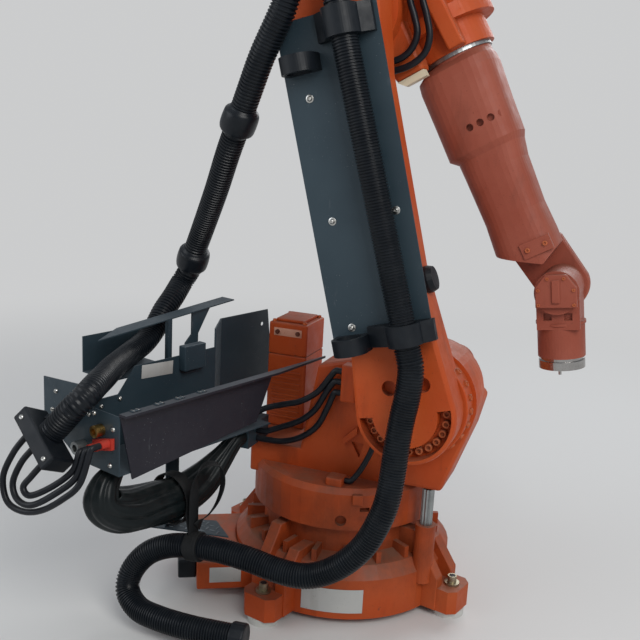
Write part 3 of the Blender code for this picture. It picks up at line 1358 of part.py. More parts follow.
def forearm_rest(parent):
    """The pale rest block on the end of the lower bar."""
    rest = prism("forearm_rest", [
        (BAR_FRONT + SEAT, REST_LOW), (REST_FRONT, REST_LOW + REST_EDGE), (REST_FRONT, REST_HIGH),
        (BAR_FRONT + SEAT, REST_HIGH),
    ], -BAR_RIGHT, -REST_SIDE)
    return finish(rest, parent, "cream_plastic")


def arm_cables(parent):
    """The two cables that loop in front of the upper arm."""
    y = -ARM_CABLE_SIDE
    face = -UPPER_RIGHT - SEAT
    rim = UPPER_DRUM_RADIUS + SEAT
    routes = (
        ([(-0.085, 0.245), (-0.062, 0.236), (-0.01, 0.215), (0.065, 0.184), (0.118, 0.175),
          (0.165, 0.163), (0.196, 0.135), (0.210, 0.098), (0.207, 0.058), (0.190, 0.031)], 6.0),
        ([(-0.085, 0.285), (-0.058, 0.278), (0, 0.256), (0.075, 0.222), (0.135, 0.210), (0.195, 0.192),
          (0.232, 0.158), (0.244, 0.108), (0.236, 0.052), (0.215, 0.012)], -6.0),
    )
    for number, (route, angle) in enumerate(routes, 1):
        first = route[0]
        start = [(first[0], face, first[1]), (first[0], face - REAR_CABLE_LEAD, first[1])]
        middle = [(route[1][0], y + ARM_CABLE_RADIUS, route[1][1])] + [(x, y, z) for x, z in route[2:]]
        out = Vector((math.cos(math.radians(angle)), 0, math.sin(math.radians(angle))))
        side = Vector((0, y, 0))
        end = [side + out * (rim + reach) for reach in (ARM_CABLE_RADIUS, 0)]
        cable = tube(f"arm_cable_{number}", start + middle + end, ARM_CABLE_RADIUS, resolution=2)
        finish(cable, parent, "black_cable")


def upper_arm_motors(parent):
    """The axis 3 motor on the left and the three wrist motors at the back."""
    face = UPPER_LEFT + SEAT
    motor = rod("axis3_motor", AXIS_3_COVER_RADIUS, face, face + AXIS_3_COVER_DEPTH, "Y")
    half = AXIS_3_MOTOR_SIZE / 2
    block = slab(
        "block", (-half, face + AXIS_3_COVER_DEPTH - OVERRUN, -half),
        (half, face + AXIS_3_MOTOR_LENGTH, half),
    )
    finish(fuse(motor, soften(block, EDGE)), parent, "orange_paint")
    half = WRIST_MOTOR_SIZE / 2
    for number, (y, z) in enumerate(((-1, -1), (1, -1), (0, 1)), 4):
        y = y * WRIST_MOTOR_SPREAD / 2
        z = FOREARM_RISE + z * WRIST_MOTOR_SPREAD / 2
        motor = slab(
            f"axis{number}_motor", (BARREL_REAR - SEAT - WRIST_MOTOR_LENGTH, y - half, z - half),
            (BARREL_REAR - SEAT, y + half, z + half),
        )
        finish(soften(motor, EDGE), parent, "orange_paint")


# Forearm pieces


def tube_ring(bottom, top, half):
    """One section of the forearm: a rounded square."""
    points = []
    for i in range(TUBE_SIDES):
        angle = math.tau * i / TUBE_SIDES
        across = abs(math.cos(angle)) ** (2 / TUBE_SQUARENESS)
        up = abs(math.sin(angle)) ** (2 / TUBE_SQUARENESS)
        across = math.copysign(across * half, math.cos(angle))
        up = math.copysign(up, math.sin(angle))
        points.append((across, (top + bottom) / 2 + up * (top - bottom) / 2))
    return points


def forearm_tube(parent):
    """The long hollow-looking casting of the forearm, with the fork that holds the wrist."""
    bm = bmesh.new()
    rings = []
    for x, bottom, top, half in TUBE_STATIONS:
        section = tube_ring(bottom, top, half)
        rings.append([bm.verts.new((x, y, FOREARM_RISE + z)) for y, z in section])
    bm.faces.new(rings[0])
    bm.faces.new(rings[-1])
    for a, b in zip(rings, rings[1:]):
        for i in range(TUBE_SIDES):
            j = (i + 1) % TUBE_SIDES
            bm.faces.new((a[i], a[j], b[j], b[i]))
    arm = body("forearm_tube", bm)
    centre = (FOREARM_REACH, 0, FOREARM_RISE)
    room = [
        (FOREARM_REACH - WRIST_ROOM, FOREARM_RISE),
        (FOREARM_REACH - WRIST_ROOM - WRIST_ROOM_SIDE * ROOM_SLANT, FOREARM_RISE - WRIST_ROOM_SIDE),
        (FOREARM_REACH, FOREARM_RISE - WRIST_ROOM_SIDE), (FOREARM_REACH, FOREARM_RISE + WRIST_ROOM_SIDE),
        (FOREARM_REACH - WRIST_ROOM - WRIST_ROOM_SIDE * ROOM_SLANT, FOREARM_RISE + WRIST_ROOM_SIDE),
    ]
    carve(arm, prism("room", room, -CHEEK_OUTER - OVERRUN, CHEEK_OUTER + OVERRUN))
    start = TUBE_STATIONS[-1][0] - CHEEK_ROOT
    cheek = prism("cheek", [
        (start, FOREARM_RISE - CHEEK_LOW + OVERRUN), (FOREARM_REACH, FOREARM_RISE - CHEEK_RADIUS),
    ] + arc(CHEEK_RADIUS, -QUARTER, QUARTER, SMALL_STEPS, (FOREARM_REACH, FOREARM_RISE))[1:] + [
        (start, FOREARM_RISE + CHEEK_HIGH),
    ], CHEEK_INNER, CHEEK_OUTER)
    spigot = rod("spigot", TONGUE_RADIUS, WRIST_LEFT + SEAT, CHEEK_INNER + OVERRUN / 2, "Y", centre)
    ring = rod(
        "ring", RING_RADIUS - EDGE, RING_FRONT + SEAT, TUBE_STATIONS[0][0] + OVERRUN, "X",
        (0, 0, FOREARM_RISE),
    )
    pad = slab(
        "pad", (PAD_PLATE_START, -PAD_PLATE_SIDE, FOREARM_RISE + PAD_PLATE_LOW),
        (PAD_PLATE_START + PAD_PLATE_LENGTH, OVERRUN - PAD_PLATE_SIDE, FOREARM_RISE + PAD_PLATE_HIGH),
    )
    fuse(arm, soften(cheek, EDGE), spigot, ring, pad)
    for i in range(SCREW_ROW_COUNT):
        height = FOREARM_RISE + SCREW_ROW_LOW + SCREW_ROW_PITCH * i
        carve(arm, rod(
            "pocket", SCREW_POCKET_RADIUS, -CHEEK_OUTER - OVERRUN, SCREW_POCKET_SINK - CHEEK_OUTER, "Y",
            (SCREW_ROW_START, 0, height), SMALL_STEPS,
        ))
    return finish(arm, parent, "faded_paint")


def forearm_ring(parent):
    """The bare steel ring between the upper arm and the forearm."""
    ring = rod(
        "forearm_ring", RING_RADIUS, NECK_FRONT + SEAT, RING_FRONT, "X", (0, 0, FOREARM_RISE),
    )
    return finish(ring, parent, "grey_steel")


# Wrist pieces


def wrist_housing(parent):
    """The wrist: a drum about axis 5, a notched collar and the round cup above the flange."""
    wrist = rod("wrist_housing", TONGUE_RADIUS, -WRIST_RIGHT, WRIST_LEFT, "Y")
    collar = slab(
        "collar", (0, -TONGUE_HALF_WIDTH, -TONGUE_RADIUS + FINE_EDGE),
        (BLOCK_START + OVERRUN, TONGUE_HALF_WIDTH, TONGUE_RADIUS - FINE_EDGE),
    )
    lip = BLOCK_HALF + CUP_LIP_PROUD
    cup = turned("cup", [
        (0, BLOCK_START), (lip, BLOCK_START), (lip, BLOCK_START + CUP_LIP_DEPTH),
        (BLOCK_HALF, BLOCK_START + CUP_LIP_DEPTH + CUP_LIP_PROUD), (BLOCK_HALF, BLOCK_END), (0, BLOCK_END),
    ], "X")
    fuse(wrist, collar, cup)
    notches = []
    for side in (-1, 1):
        inner = side * NOTCH_INNER
        outer = side * NOTCH_OUTER
        notches.append(slab(
            "notch", (NOTCH_START, -TONGUE_HALF_WIDTH - OVERRUN, min(inner, outer)),
            (NOTCH_START + NOTCH_LENGTH, NOTCH_DEPTH - TONGUE_HALF_WIDTH, max(inner, outer)),
        ))
    return finish(carve(wrist, *notches), parent, "faded_paint")


def wrist_cover(parent):
    """The six-sided cover on the right of the wrist, with a rib down its middle."""
    face = -WRIST_RIGHT - SEAT
    half = [
        (COVER_BOTTOM, COVER_HALF_WIDTH), (-COVER_SHOULDER, COVER_HALF_WIDTH),
        (-COVER_TOP, COVER_TOP_HALF),
    ]
    outline = half + [(x, -z) for x, z in reversed(half)]
    cover = prism("wrist_cover", outline, face - COVER_DEPTH, face)
    soften(cover, FINE_EDGE)
    rib = slab(
        "rib", (-COVER_RIB_TOP, face - COVER_DEPTH - COVER_RIB_PROUD, -COVER_RIB_HALF),
        (COVER_RIB_BOTTOM, face - COVER_DEPTH / 2, COVER_RIB_HALF),
    )
    return finish(fuse(cover, soften(rib, FINE_EDGE)), parent, "faded_paint")


def tool_flange(parent):
    """The steel tool flange with its two small pins."""
    flange = turned("tool_flange", [
        (0, BLOCK_END + SEAT), (FLANGE_NECK_RADIUS, BLOCK_END + SEAT),
        (FLANGE_NECK_RADIUS, BLOCK_END + FLANGE_NECK), (FLANGE_RADIUS, BLOCK_END + FLANGE_NECK),
        (FLANGE_RADIUS, FLANGE_REACH), (FLANGE_BORE_RADIUS, FLANGE_REACH),
        (FLANGE_BORE_RADIUS, FLANGE_REACH - FLANGE_BORE_DEPTH), (0, FLANGE_REACH - FLANGE_BORE_DEPTH),
    ], "X")
    pins = []
    for side in (-1, 1):
        pins.append(rod(
            "pin", PIN_RADIUS, FLANGE_REACH - PIN_LENGTH, FLANGE_REACH + PIN_LENGTH, "X",
            (0, side * PIN_CIRCLE, 0), SMALL_STEPS,
        ))
    fuse(flange, *pins)
    return finish(flange, parent, "bright_steel")


# The whole object

clear_scene()
paint("orange_paint", (0.62, 0.13, 0.03), 0, 0.5)
paint("faded_paint", (0.52, 0.12, 0.05), 0, 0.55)
paint("slate_sheet", (0.045, 0.06, 0.072), 0, 0.5)
paint("plum_sheet", (0.05, 0.048, 0.065), 0, 0.5)
paint("black_plastic", (0.015, 0.016, 0.018), 0, 0.45)
paint("black_hose", (0.012, 0.014, 0.018), 0, 0.4)
paint("pad_white", (0.6, 0.6, 0.57), 0, 0.7)
paint("black_cable", (0.014, 0.015, 0.018), 0, 0.45)
paint("black_film", (0.012, 0.016, 0.018), 0, 0.35)
paint("cream_plastic", (0.62, 0.55, 0.36), 0, 0.5)
paint("red_fitting", (0.45, 0.03, 0.02), 0, 0.35)
paint("brass", (0.55, 0.36, 0.12), 1, 0.35)
paint("zinc", (0.5, 0.46, 0.36), 1, 0.4)
paint("grey_steel", (0.42, 0.43, 0.43), 1, 0.45)
paint("bright_steel", (0.6, 0.6, 0.6), 1, 0.25)

robot = axes("robot", None, (0, 0, 0))
base = axes("base_axes", robot, (0, 0, 0), turn_about("Z", BASE_TURN))
axis_2 = axes("axis_2", robot, (AXIS_2_FORWARD, 0, AXIS_2_HEIGHT), turn_about("Y", LOWER_ARM_LEAN))
axis_3 = axes(
    "axis_3", axis_2, (0, 0, LOWER_ARM_LENGTH), turn_about("Y", FOREARM_DROP - LOWER_ARM_LEAN),
)
axis_4 = axes("axis_4", axis_3, (0, 0, 0))
axis_5 = axes(
    "axis_5", axis_4, (FOREARM_REACH, 0, FOREARM_RISE), turn_about("Y", WRIST_DROP - FOREARM_DROP),
)
axis_6 = axes("axis_6", axis_5, (0, 0, 0))

base_casting(base)
anchors(base)
connector_box(base)
ribbed_sleeve(robot)
frame_casting(robot)
axis2_gear_ring(robot)
axis1_motor(robot)
axis2_motor(robot)
bracket_stay(robot)
bracket_place = Matrix.Translation((BRACKET_X, BRACKET_Y, 0)) @ turn_about("Z", BRACKET_TURN)
bracket = axes("bracket_axes", robot, (BRACKET_X, BRACKET_Y, 0), turn_about("Z", BRACKET_TURN))
bracket_tray(bracket)
bracket_panels(bracket)
top_plate(bracket)
rear_clamp(bracket)
fittings(bracket)
rear_cables(bracket)
cable_bundle(robot)
chequer_plate(bracket)
hose_strap(bracket)
drive_cables(robot)
lower_hose(robot)
upper_hose(robot, bracket_place)
lower_arm_casting(axis_2)
arm_plate(axis_2)
arm_hose(axis_2)
rubber_stop(axis_2)
low_middle = arm_hose_x(LOW_CLAMP_Z + LOW_CLAMP_HEIGHT / 2)
low_ear = low_middle - HOSE_RADIUS - CLAMP_WALL - (SPARE_X + SPARE_RADIUS + SPARE_WALL) - SEAT
hose_clamp("lower_clamp", axis_2, LOW_CLAMP_Z, LOW_CLAMP_HEIGHT, low_ear)
hose_clamp("upper_clamp", axis_2, HIGH_CLAMP_Z - HIGH_CLAMP_HEIGHT / 2, HIGH_CLAMP_HEIGHT, CLAMP_REAR_EAR)
spare_clip("spare_clip_lower", axis_2, SPARE_LOW_Z)
spare_clip("spare_clip_upper", axis_2, SPARE_HIGH_Z)
upper_arm_casting(axis_3)
upper_arm_motors(axis_3)
forearm_rest(axis_3)
arm_cables(axis_3)
forearm_ring(axis_4)
forearm_tube(axis_4)
wrist_housing(axis_5)
wrist_cover(axis_5)
tool_flange(axis_6)
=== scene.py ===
import json
import math

import bmesh
import bpy
from mathutils import Matrix, Vector


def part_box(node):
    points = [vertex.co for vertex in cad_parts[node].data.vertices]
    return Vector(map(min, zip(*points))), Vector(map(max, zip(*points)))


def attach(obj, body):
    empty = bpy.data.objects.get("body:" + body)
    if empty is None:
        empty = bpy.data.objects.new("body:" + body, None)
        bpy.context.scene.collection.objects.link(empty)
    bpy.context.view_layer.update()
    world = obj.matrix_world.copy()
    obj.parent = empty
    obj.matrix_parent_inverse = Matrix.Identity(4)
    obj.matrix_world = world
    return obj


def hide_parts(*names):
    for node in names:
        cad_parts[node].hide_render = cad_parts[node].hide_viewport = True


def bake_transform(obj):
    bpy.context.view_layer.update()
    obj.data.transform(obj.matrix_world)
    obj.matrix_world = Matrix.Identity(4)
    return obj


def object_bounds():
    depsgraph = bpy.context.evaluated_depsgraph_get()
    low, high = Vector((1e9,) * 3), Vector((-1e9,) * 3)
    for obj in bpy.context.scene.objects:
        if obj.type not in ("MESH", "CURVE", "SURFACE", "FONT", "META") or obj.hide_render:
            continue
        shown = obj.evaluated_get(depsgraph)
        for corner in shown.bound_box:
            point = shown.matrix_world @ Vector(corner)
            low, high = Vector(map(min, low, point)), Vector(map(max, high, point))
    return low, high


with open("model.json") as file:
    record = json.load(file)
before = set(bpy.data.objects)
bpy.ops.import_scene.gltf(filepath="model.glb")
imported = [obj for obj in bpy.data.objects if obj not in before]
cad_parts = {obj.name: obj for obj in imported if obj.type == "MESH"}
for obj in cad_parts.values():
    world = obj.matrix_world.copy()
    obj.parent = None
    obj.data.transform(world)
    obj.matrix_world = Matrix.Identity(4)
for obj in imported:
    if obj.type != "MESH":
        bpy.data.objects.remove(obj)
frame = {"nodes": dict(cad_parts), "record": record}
nodes = frame["nodes"]
cad_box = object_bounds()
scene = bpy.context.scene

# Camera

camera_data = bpy.data.cameras.new("camera")
camera_data.lens = 50.55
camera_data.sensor_width = 36
camera_data.clip_end = 60
camera = bpy.data.objects.new("camera", camera_data)
scene.collection.objects.link(camera)
camera.matrix_world = (
    Matrix.Translation((1.002, -3.042, 1.695))
    @ Matrix.Rotation(math.radians(20.5), 4, "Z")
    @ Matrix.Rotation(math.radians(90 - 12.9), 4, "X")
    @ Matrix.Rotation(math.radians(3.0), 4, "Z")
)
scene.camera = camera
scene.view_settings.view_transform = "Standard"


# Light and stage

BACKDROP = (0.60, 0.605, 0.61, 1)
FLOOR_HALF = 40


def area_light(name, place, target, size, power, color=(1, 1, 1)):
    data = bpy.data.lights.new(name, "AREA")
    data.shape = "SQUARE"
    data.size = size
    data.energy = power
    data.color = color
    lamp = bpy.data.objects.new(name, data)
    scene.collection.objects.link(lamp)
    lamp.location = place
    aim = Vector(target) - Vector(place)
    lamp.rotation_euler = aim.to_track_quat("-Z", "Y").to_euler()
    return lamp


area_light("key", (3.2, -3.6, 4.6), (0, 0, 1.0), 3.0, 205, (1, 0.985, 0.96))
area_light("fill", (-4.4, -3.6, 3.2), (0, 0, 0.9), 4.0, 95, (0.93, 0.96, 1))
area_light("back", (1.0, 4.6, 4.4), (0, 0, 1.2), 3.5, 150, (0.97, 0.98, 1))

world = bpy.data.worlds.new("world")
scene.world = world
world.use_nodes = True
tree = world.node_tree
tree.nodes.clear()
out = tree.nodes.new("ShaderNodeOutputWorld")
mix = tree.nodes.new("ShaderNodeMixShader")
path = tree.nodes.new("ShaderNodeLightPath")
soft = tree.nodes.new("ShaderNodeBackground")
soft.inputs["Color"].default_value = (0.86, 0.9, 0.96, 1)
soft.inputs["Strength"].default_value = 0.42
pale = tree.nodes.new("ShaderNodeBackground")
pale.inputs["Color"].default_value = BACKDROP
pale.inputs["Strength"].default_value = 1.0
tree.links.new(path.outputs["Is Camera Ray"], mix.inputs[0])
tree.links.new(soft.outputs[0], mix.inputs[1])
tree.links.new(pale.outputs[0], mix.inputs[2])
tree.links.new(mix.outputs[0], out.inputs[0])

floor_mesh = bpy.data.meshes.new("floor")
low = cad_box[0][2]
floor_corners = [
    (x * FLOOR_HALF, y * FLOOR_HALF, low) for x, y in ((-1, -1), (1, -1), (1, 1), (-1, 1))
]
floor_mesh.from_pydata(floor_corners, [], [(0, 1, 2, 3)])
floor = bpy.data.objects.new("floor", floor_mesh)
scene.collection.objects.link(floor)
floor_material = bpy.data.materials.new("floor")
floor_material.use_nodes = True
floor_tree = floor_material.node_tree
floor_shader = floor_tree.nodes["Principled BSDF"]
floor_shader.inputs["Base Color"].default_value = (0.6, 0.6, 0.59, 1)
floor_shader.inputs["Roughness"].default_value = 0.7
far = floor_tree.nodes.new("ShaderNodeEmission")
far.inputs["Color"].default_value = BACKDROP
blend = floor_tree.nodes.new("ShaderNodeMixShader")
spread = floor_tree.nodes.new("ShaderNodeVectorMath")
spread.operation = "LENGTH"
fade = floor_tree.nodes.new("ShaderNodeMapRange")
fade.interpolation_type = "SMOOTHSTEP"
fade.inputs["From Min"].default_value = 1.6
fade.inputs["From Max"].default_value = 5.5
coords = floor_tree.nodes.new("ShaderNodeTexCoord")
floor_tree.links.new(coords.outputs["Object"], spread.inputs[0])
floor_tree.links.new(spread.outputs["Value"], fade.inputs["Value"])
floor_tree.links.new(fade.outputs["Result"], blend.inputs[0])
floor_tree.links.new(floor_shader.outputs[0], blend.inputs[1])
floor_tree.links.new(far.outputs[0], blend.inputs[2])
floor_tree.links.new(blend.outputs[0], floor_tree.nodes["Material Output"].inputs["Surface"])
floor_mesh.materials.append(floor_material)


# Materials

class Shader:
    """A small helper that builds one procedural material."""

    def __init__(self, name):
        self.material = bpy.data.materials.new(name)
        self.material.use_nodes = True
        self.tree = self.material.node_tree
        self.bsdf = self.tree.nodes["Principled BSDF"]
        self.coords = self.add("ShaderNodeTexCoord").outputs["Object"]

    def add(self, kind, **settings):
        node = self.tree.nodes.new(kind)
        for key, value in settings.items():
            setattr(node, key, value)
        return node

    def link(self, a, b):
        self.tree.links.new(a, b)

    def noise(self, scale, detail=3.0, rough=0.55, stretch=None):
        node = self.add("ShaderNodeTexNoise")
        node.inputs["Scale"].default_value = scale
        node.inputs["Detail"].default_value = detail
        node.inputs["Roughness"].default_value = rough
        source = self.coords
        if stretch:
            mapping = self.add("ShaderNodeMapping")
            mapping.inputs["Scale"].default_value = stretch
            self.link(source, mapping.inputs["Vector"])
            source = mapping.outputs["Vector"]
        self.link(source, node.inputs["Vector"])
        return node.outputs["Fac"]

    def ramp(self, value, low, high, a=0.0, b=1.0):
        node = self.add("ShaderNodeMapRange")
        node.inputs["From Min"].default_value = low
        node.inputs["From Max"].default_value = high
        node.inputs["To Min"].default_value = a
        node.inputs["To Max"].default_value = b
        self.link(value, node.inputs["Value"])
        return node.outputs["Result"]

    def both(self, a, b):
        """The product of two shares."""
        node = self.add("ShaderNodeMath", operation="MULTIPLY")
        for socket, value in zip(node.inputs, (a, b)):
            if isinstance(value, (int, float)):
                socket.default_value = value
            else:
                self.link(value, socket)
        return node.outputs["Value"]

    def mix(self, share, a, b):
        node = self.add("ShaderNodeMix", data_type="RGBA")
        if isinstance(share, (int, float)):
            node.inputs["Factor"].default_value = share
        else:
            self.link(share, node.inputs["Factor"])
        for name, value in (("A", a), ("B", b)):
            socket = [s for s in node.inputs if s.name == name and s.type == "RGBA"][0]
            if isinstance(value, tuple):
                socket.default_value = (*value, 1)
            else:
                self.link(value, socket)
        return [s for s in node.outputs if s.type == "RGBA"][0]

    def up(self):
        """How much the surface faces up, from 0 to 1."""
        geometry = self.add("ShaderNodeNewGeometry")
        split = self.add("ShaderNodeSeparateXYZ")
        self.link(geometry.outputs["Normal"], split.inputs[0])
        return split.outputs["Z"]

    def height(self):
        """The height over the floor at rest."""
        split = self.add("ShaderNodeSeparateXYZ")
        self.link(self.coords, split.inputs[0])
        return split.outputs["Z"]

    def bump(self, height, strength, distance=0.001, under=None):
        node = self.add("ShaderNodeBump")
        node.inputs["Strength"].default_value = strength
        node.inputs["Distance"].default_value = distance
        self.link(height, node.inputs["Height"])
        if under is not None:
            self.link(under, node.inputs["Normal"])
        return node.outputs["Normal"]

    def done(self, color, rough, normal=None, metal=0.0):
        self.link(color, self.bsdf.inputs["Base Color"])
        if isinstance(rough, (int, float)):
            self.bsdf.inputs["Roughness"].default_value = rough
        else:
            self.link(rough, self.bsdf.inputs["Roughness"])
        if normal is not None:
            self.link(normal, self.bsdf.inputs["Normal"])
        if isinstance(metal, (int, float)):
            self.bsdf.inputs["Metallic"].default_value = metal
        else:
            self.link(metal, self.bsdf.inputs["Metallic"])
        return self.material


def cast_paint(name, base, faded, dark, dust=(0.13, 0.095, 0.07), dusty=0.6, grain=0.35, low_darkening=0.0):
    """Thick paint on rough castings: faded patches, grime in streaks, chips, dust on what faces up."""
    s = Shader(name)
    s.bsdf.inputs["Specular IOR Level"].default_value = 0.24
    patch = s.ramp(s.noise(3.2, 4, 0.6), 0.38, 0.68)
    color = s.mix(patch, base, faded)
    grime = s.ramp(s.noise(9.0, 5, 0.65, (1, 1, 0.25)), 0.56, 0.78, 0, 0.55)
    color = s.mix(grime, color, dark)
    speck = s.ramp(s.noise(160.0, 2, 0.5), 0.68, 0.76, 0, 0.5)
    color = s.mix(speck, color, dark)
    chip = s.both(s.ramp(s.noise(38.0, 5, 0.7), 0.66, 0.69), s.ramp(s.noise(4.0, 2, 0.5), 0.5, 0.56))
    color = s.mix(s.both(chip, 0.55), color, (0.07, 0.045, 0.035))
    # Darker towards the bottom: below about 0.56 m the paint goes towards the dark colour in noisy patches,
    # less so right at the floor.
    low = s.both(s.ramp(s.height(), 0.56, 0.34, 0, low_darkening), s.ramp(s.height(), 0.07, 0.19, 0.3, 1))
    color = s.mix(s.both(low, s.ramp(s.noise(7.0, 5, 0.65), 0.32, 0.62, 0.35, 1.0)), color, dark)
    lie = s.ramp(s.up(), 0.25, 0.92)
    cloud = s.ramp(s.noise(14.0, 4, 0.6), 0.3, 0.7, 0.45, 1.0)
    color = s.mix(s.both(s.both(lie, cloud), dusty), color, dust)
    rough = s.ramp(s.noise(26.0, 3, 0.6), 0.3, 0.7, 0.42, 0.62)
    normal = s.bump(s.noise(90.0, 3, 0.6), grain, 0.0012)
    normal = s.bump(s.noise(700.0, 2, 0.5), 0.12, 0.0004, normal)
    return s.done(color, rough, normal)


def sheet_paint(name, base, worn, dust=(0.2, 0.2, 0.2), dusty=0.5):
    """Powder-coated sheet with a fine grain, light scuffs, bare specks and some dust."""
    s = Shader(name)
    s.bsdf.inputs["Specular IOR Level"].default_value = 0.36
    color = s.mix(s.ramp(s.noise(2.5, 3, 0.6), 0.35, 0.7), base, worn)
    scuff = s.ramp(s.noise(55.0, 4, 0.7, (1, 1, 0.2)), 0.66, 0.8, 0, 0.35)
    color = s.mix(scuff, color, (0.16, 0.17, 0.18))
    bare = s.both(s.ramp(s.noise(210.0, 2, 0.5), 0.72, 0.74), s.ramp(s.noise(6.0, 2, 0.5), 0.5, 0.6))
    color = s.mix(s.both(bare, 0.6), color, (0.35, 0.36, 0.36))
    lie = s.ramp(s.up(), 0.5, 0.98, 0, dusty)
    color = s.mix(lie, color, dust)
    rough = s.ramp(s.noise(40.0, 3, 0.6), 0.3, 0.7, 0.38, 0.55)
    normal = s.bump(s.noise(520.0, 2, 0.6), 0.35, 0.0005)
    return s.done(color, rough, normal)


def rubber(name, base, worn, rough=(0.35, 0.55), dusty=0.35, grain=0.15):
    """Black rubber or plastic with dull patches and dust."""
    s = Shader(name)
    s.bsdf.inputs["Specular IOR Level"].default_value = 0.24
    color = s.mix(s.ramp(s.noise(12.0, 4, 0.65), 0.4, 0.75), base, worn)
    lie = s.ramp(s.up(), 0.4, 1.0, 0, dusty)
    cloud = s.ramp(s.noise(30.0, 4, 0.6), 0.35, 0.7)
    color = s.mix(s.both(lie, cloud), color, (0.12, 0.115, 0.11))
    gloss = s.ramp(s.noise(24.0, 3, 0.6), 0.3, 0.7, rough[0], rough[1])
    normal = s.bump(s.noise(300.0, 2, 0.5), grain, 0.0005)
    return s.done(color, gloss, normal)


def steel(name, base, dark, rough=(0.22, 0.4), stretch=(1, 1, 1)):
    """Bare or plated metal with dull patches."""
    s = Shader(name)
    color = s.mix(s.ramp(s.noise(18.0, 4, 0.6), 0.4, 0.75), base, dark)
    gloss = s.ramp(s.noise(60.0, 3, 0.6, stretch), 0.3, 0.7, rough[0], rough[1])
    normal = s.bump(s.noise(400.0, 2, 0.5, stretch), 0.1, 0.0003)
    return s.done(color, gloss, normal, 1.0)


looks = {
    "orange_paint": cast_paint(
        "orange_cast_paint", (0.44, 0.060, 0.009), (0.47, 0.086, 0.020), (0.10, 0.022, 0.009), low_darkening=0.72),
    "faded_paint": cast_paint(
        "faded_cast_paint", (0.26, 0.058, 0.033), (0.31, 0.085, 0.054), (0.11, 0.032, 0.020), dusty=0.4),
    "slate_sheet": sheet_paint(
        "slate_powder_coat", (0.018, 0.034, 0.046), (0.030, 0.050, 0.064), (0.09, 0.10, 0.11), 0.35),
    "plum_sheet": sheet_paint(
        "plum_powder_coat", (0.013, 0.013, 0.021), (0.022, 0.022, 0.030), (0.09, 0.10, 0.11), 0.5),
    # Black moulding, also used for the dark pieces painted in as shade in holes and sockets.
    "black_plastic": rubber("black_moulding_and_painted_shade", (0.005, 0.007, 0.010), (0.009, 0.012, 0.016), dusty=0.08),
    "black_hose": rubber(
        "black_hose_wall", (0.004, 0.006, 0.009), (0.009, 0.012, 0.016), (0.30, 0.38), 0.15, 0.05),
    "pad_white": cast_paint(
        "pale_pad", (0.5, 0.5, 0.47), (0.6, 0.59, 0.56), (0.3, 0.29, 0.27), dusty=0.2),
    "zinc": steel("zinc_plate", (0.42, 0.38, 0.28), (0.3, 0.25, 0.17), (0.3, 0.5)),
    "grey_steel": steel("grey_steel", (0.36, 0.38, 0.38), (0.26, 0.27, 0.27), (0.35, 0.5)),
    "bright_steel": steel(
        "machined_steel", (0.42, 0.41, 0.40), (0.32, 0.30, 0.28), (0.16, 0.3), (1, 1, 30)),
    "black_cable": rubber(
        "cable_jacket", (0.005, 0.006, 0.009), (0.011, 0.013, 0.017), (0.32, 0.42), 0.2, 0.05),
    "black_film": rubber(
        "wrap_film", (0.004, 0.007, 0.008), (0.009, 0.013, 0.014), (0.30, 0.48), 0.2, 0.15),
    "cream_plastic": cast_paint(
        "cream_block", (0.60, 0.53, 0.34), (0.66, 0.60, 0.44), (0.32, 0.26, 0.16), dusty=0.3),
    "red_fitting": cast_paint(
        "red_coupler", (0.42, 0.028, 0.018), (0.5, 0.05, 0.03), (0.12, 0.02, 0.015), dusty=0.2),
    "brass": steel("brass_coupler", (0.58, 0.37, 0.12), (0.36, 0.2, 0.07), (0.25, 0.42)),
    "dusty_screw": cast_paint(
        "painted_screw", (0.40, 0.085, 0.025), (0.46, 0.14, 0.06), (0.10, 0.035, 0.02), dusty=0.5),
    "bright_screw": steel("plated_screw", (0.62, 0.62, 0.60), (0.4, 0.39, 0.36), (0.25, 0.4)),
    "orange_fastener": cast_paint(
        "orange_screw", (0.58, 0.12, 0.03), (0.64, 0.17, 0.06), (0.2, 0.05, 0.02)),
    "pale_plate": cast_paint(
        "pale_nameplate", (0.62, 0.30, 0.20), (0.68, 0.38, 0.28), (0.45, 0.16, 0.09), dusty=0.2),
    "worn_tread": steel("worn_tread", (0.24, 0.27, 0.29), (0.10, 0.12, 0.13), (0.35, 0.5)),
    "black_webbing": rubber(
        "black_webbing", (0.006, 0.007, 0.008), (0.012, 0.013, 0.014), (0.6, 0.8), 0.15, 0.5),
    "brown_knob": rubber("brown_knob", (0.09, 0.03, 0.018), (0.14, 0.05, 0.03)),
    "white_label": cast_paint(
        "bare_label", (0.40, 0.40, 0.39), (0.46, 0.46, 0.44), (0.24, 0.23, 0.21), dusty=0.2, grain=0.05),
}
slots = {part["node"]: part["material_slot"] for part in frame["record"]["subparts"]}
for name, node in nodes.items():
    node.data.materials.clear()
    node.data.materials.append(looks[slots[name]])


# Places

LEAN = -14.5
FOREARM_TURN = 60.45
WRIST_TURN = 82.3
BRACKET_TURN = -17.2
AXIS_2_X = 0.32
AXIS_2_Z = 0.78
ARM_LENGTH = 1.28
FOREARM_RISE = 0.20
FOREARM_REACH = 1.09
PLATE_FACE = -0.415 - 0.028 - 0.004
SEAT = 0.0003


def turned(place, axis, degrees):
    """The frame at a place, turned about one axis."""
    return Matrix.Translation(place) @ Matrix.Rotation(math.radians(degrees), 4, axis)


arm = turned((AXIS_2_X, 0, AXIS_2_Z), "Y", LEAN)
upper = turned(arm @ Vector((0, 0, ARM_LENGTH)), "Y", FOREARM_TURN)
wrist = turned(upper @ Vector((FOREARM_REACH, 0, FOREARM_RISE)), "Y", WRIST_TURN)
bracket = turned((-0.098, 0.156, 0), "Z", BRACKET_TURN)


def facing(place, out, up=(0, 0, 1)):
    """The frame at a place whose Z looks out of a surface and whose Y leans to the second direction."""
    z = Vector(out).normalized()
    y = Vector(up) - z * z.dot(Vector(up))
    y.normalize()
    turn = Matrix((y.cross(z), y, z)).transposed().to_4x4()
    return Matrix.Translation(place) @ turn


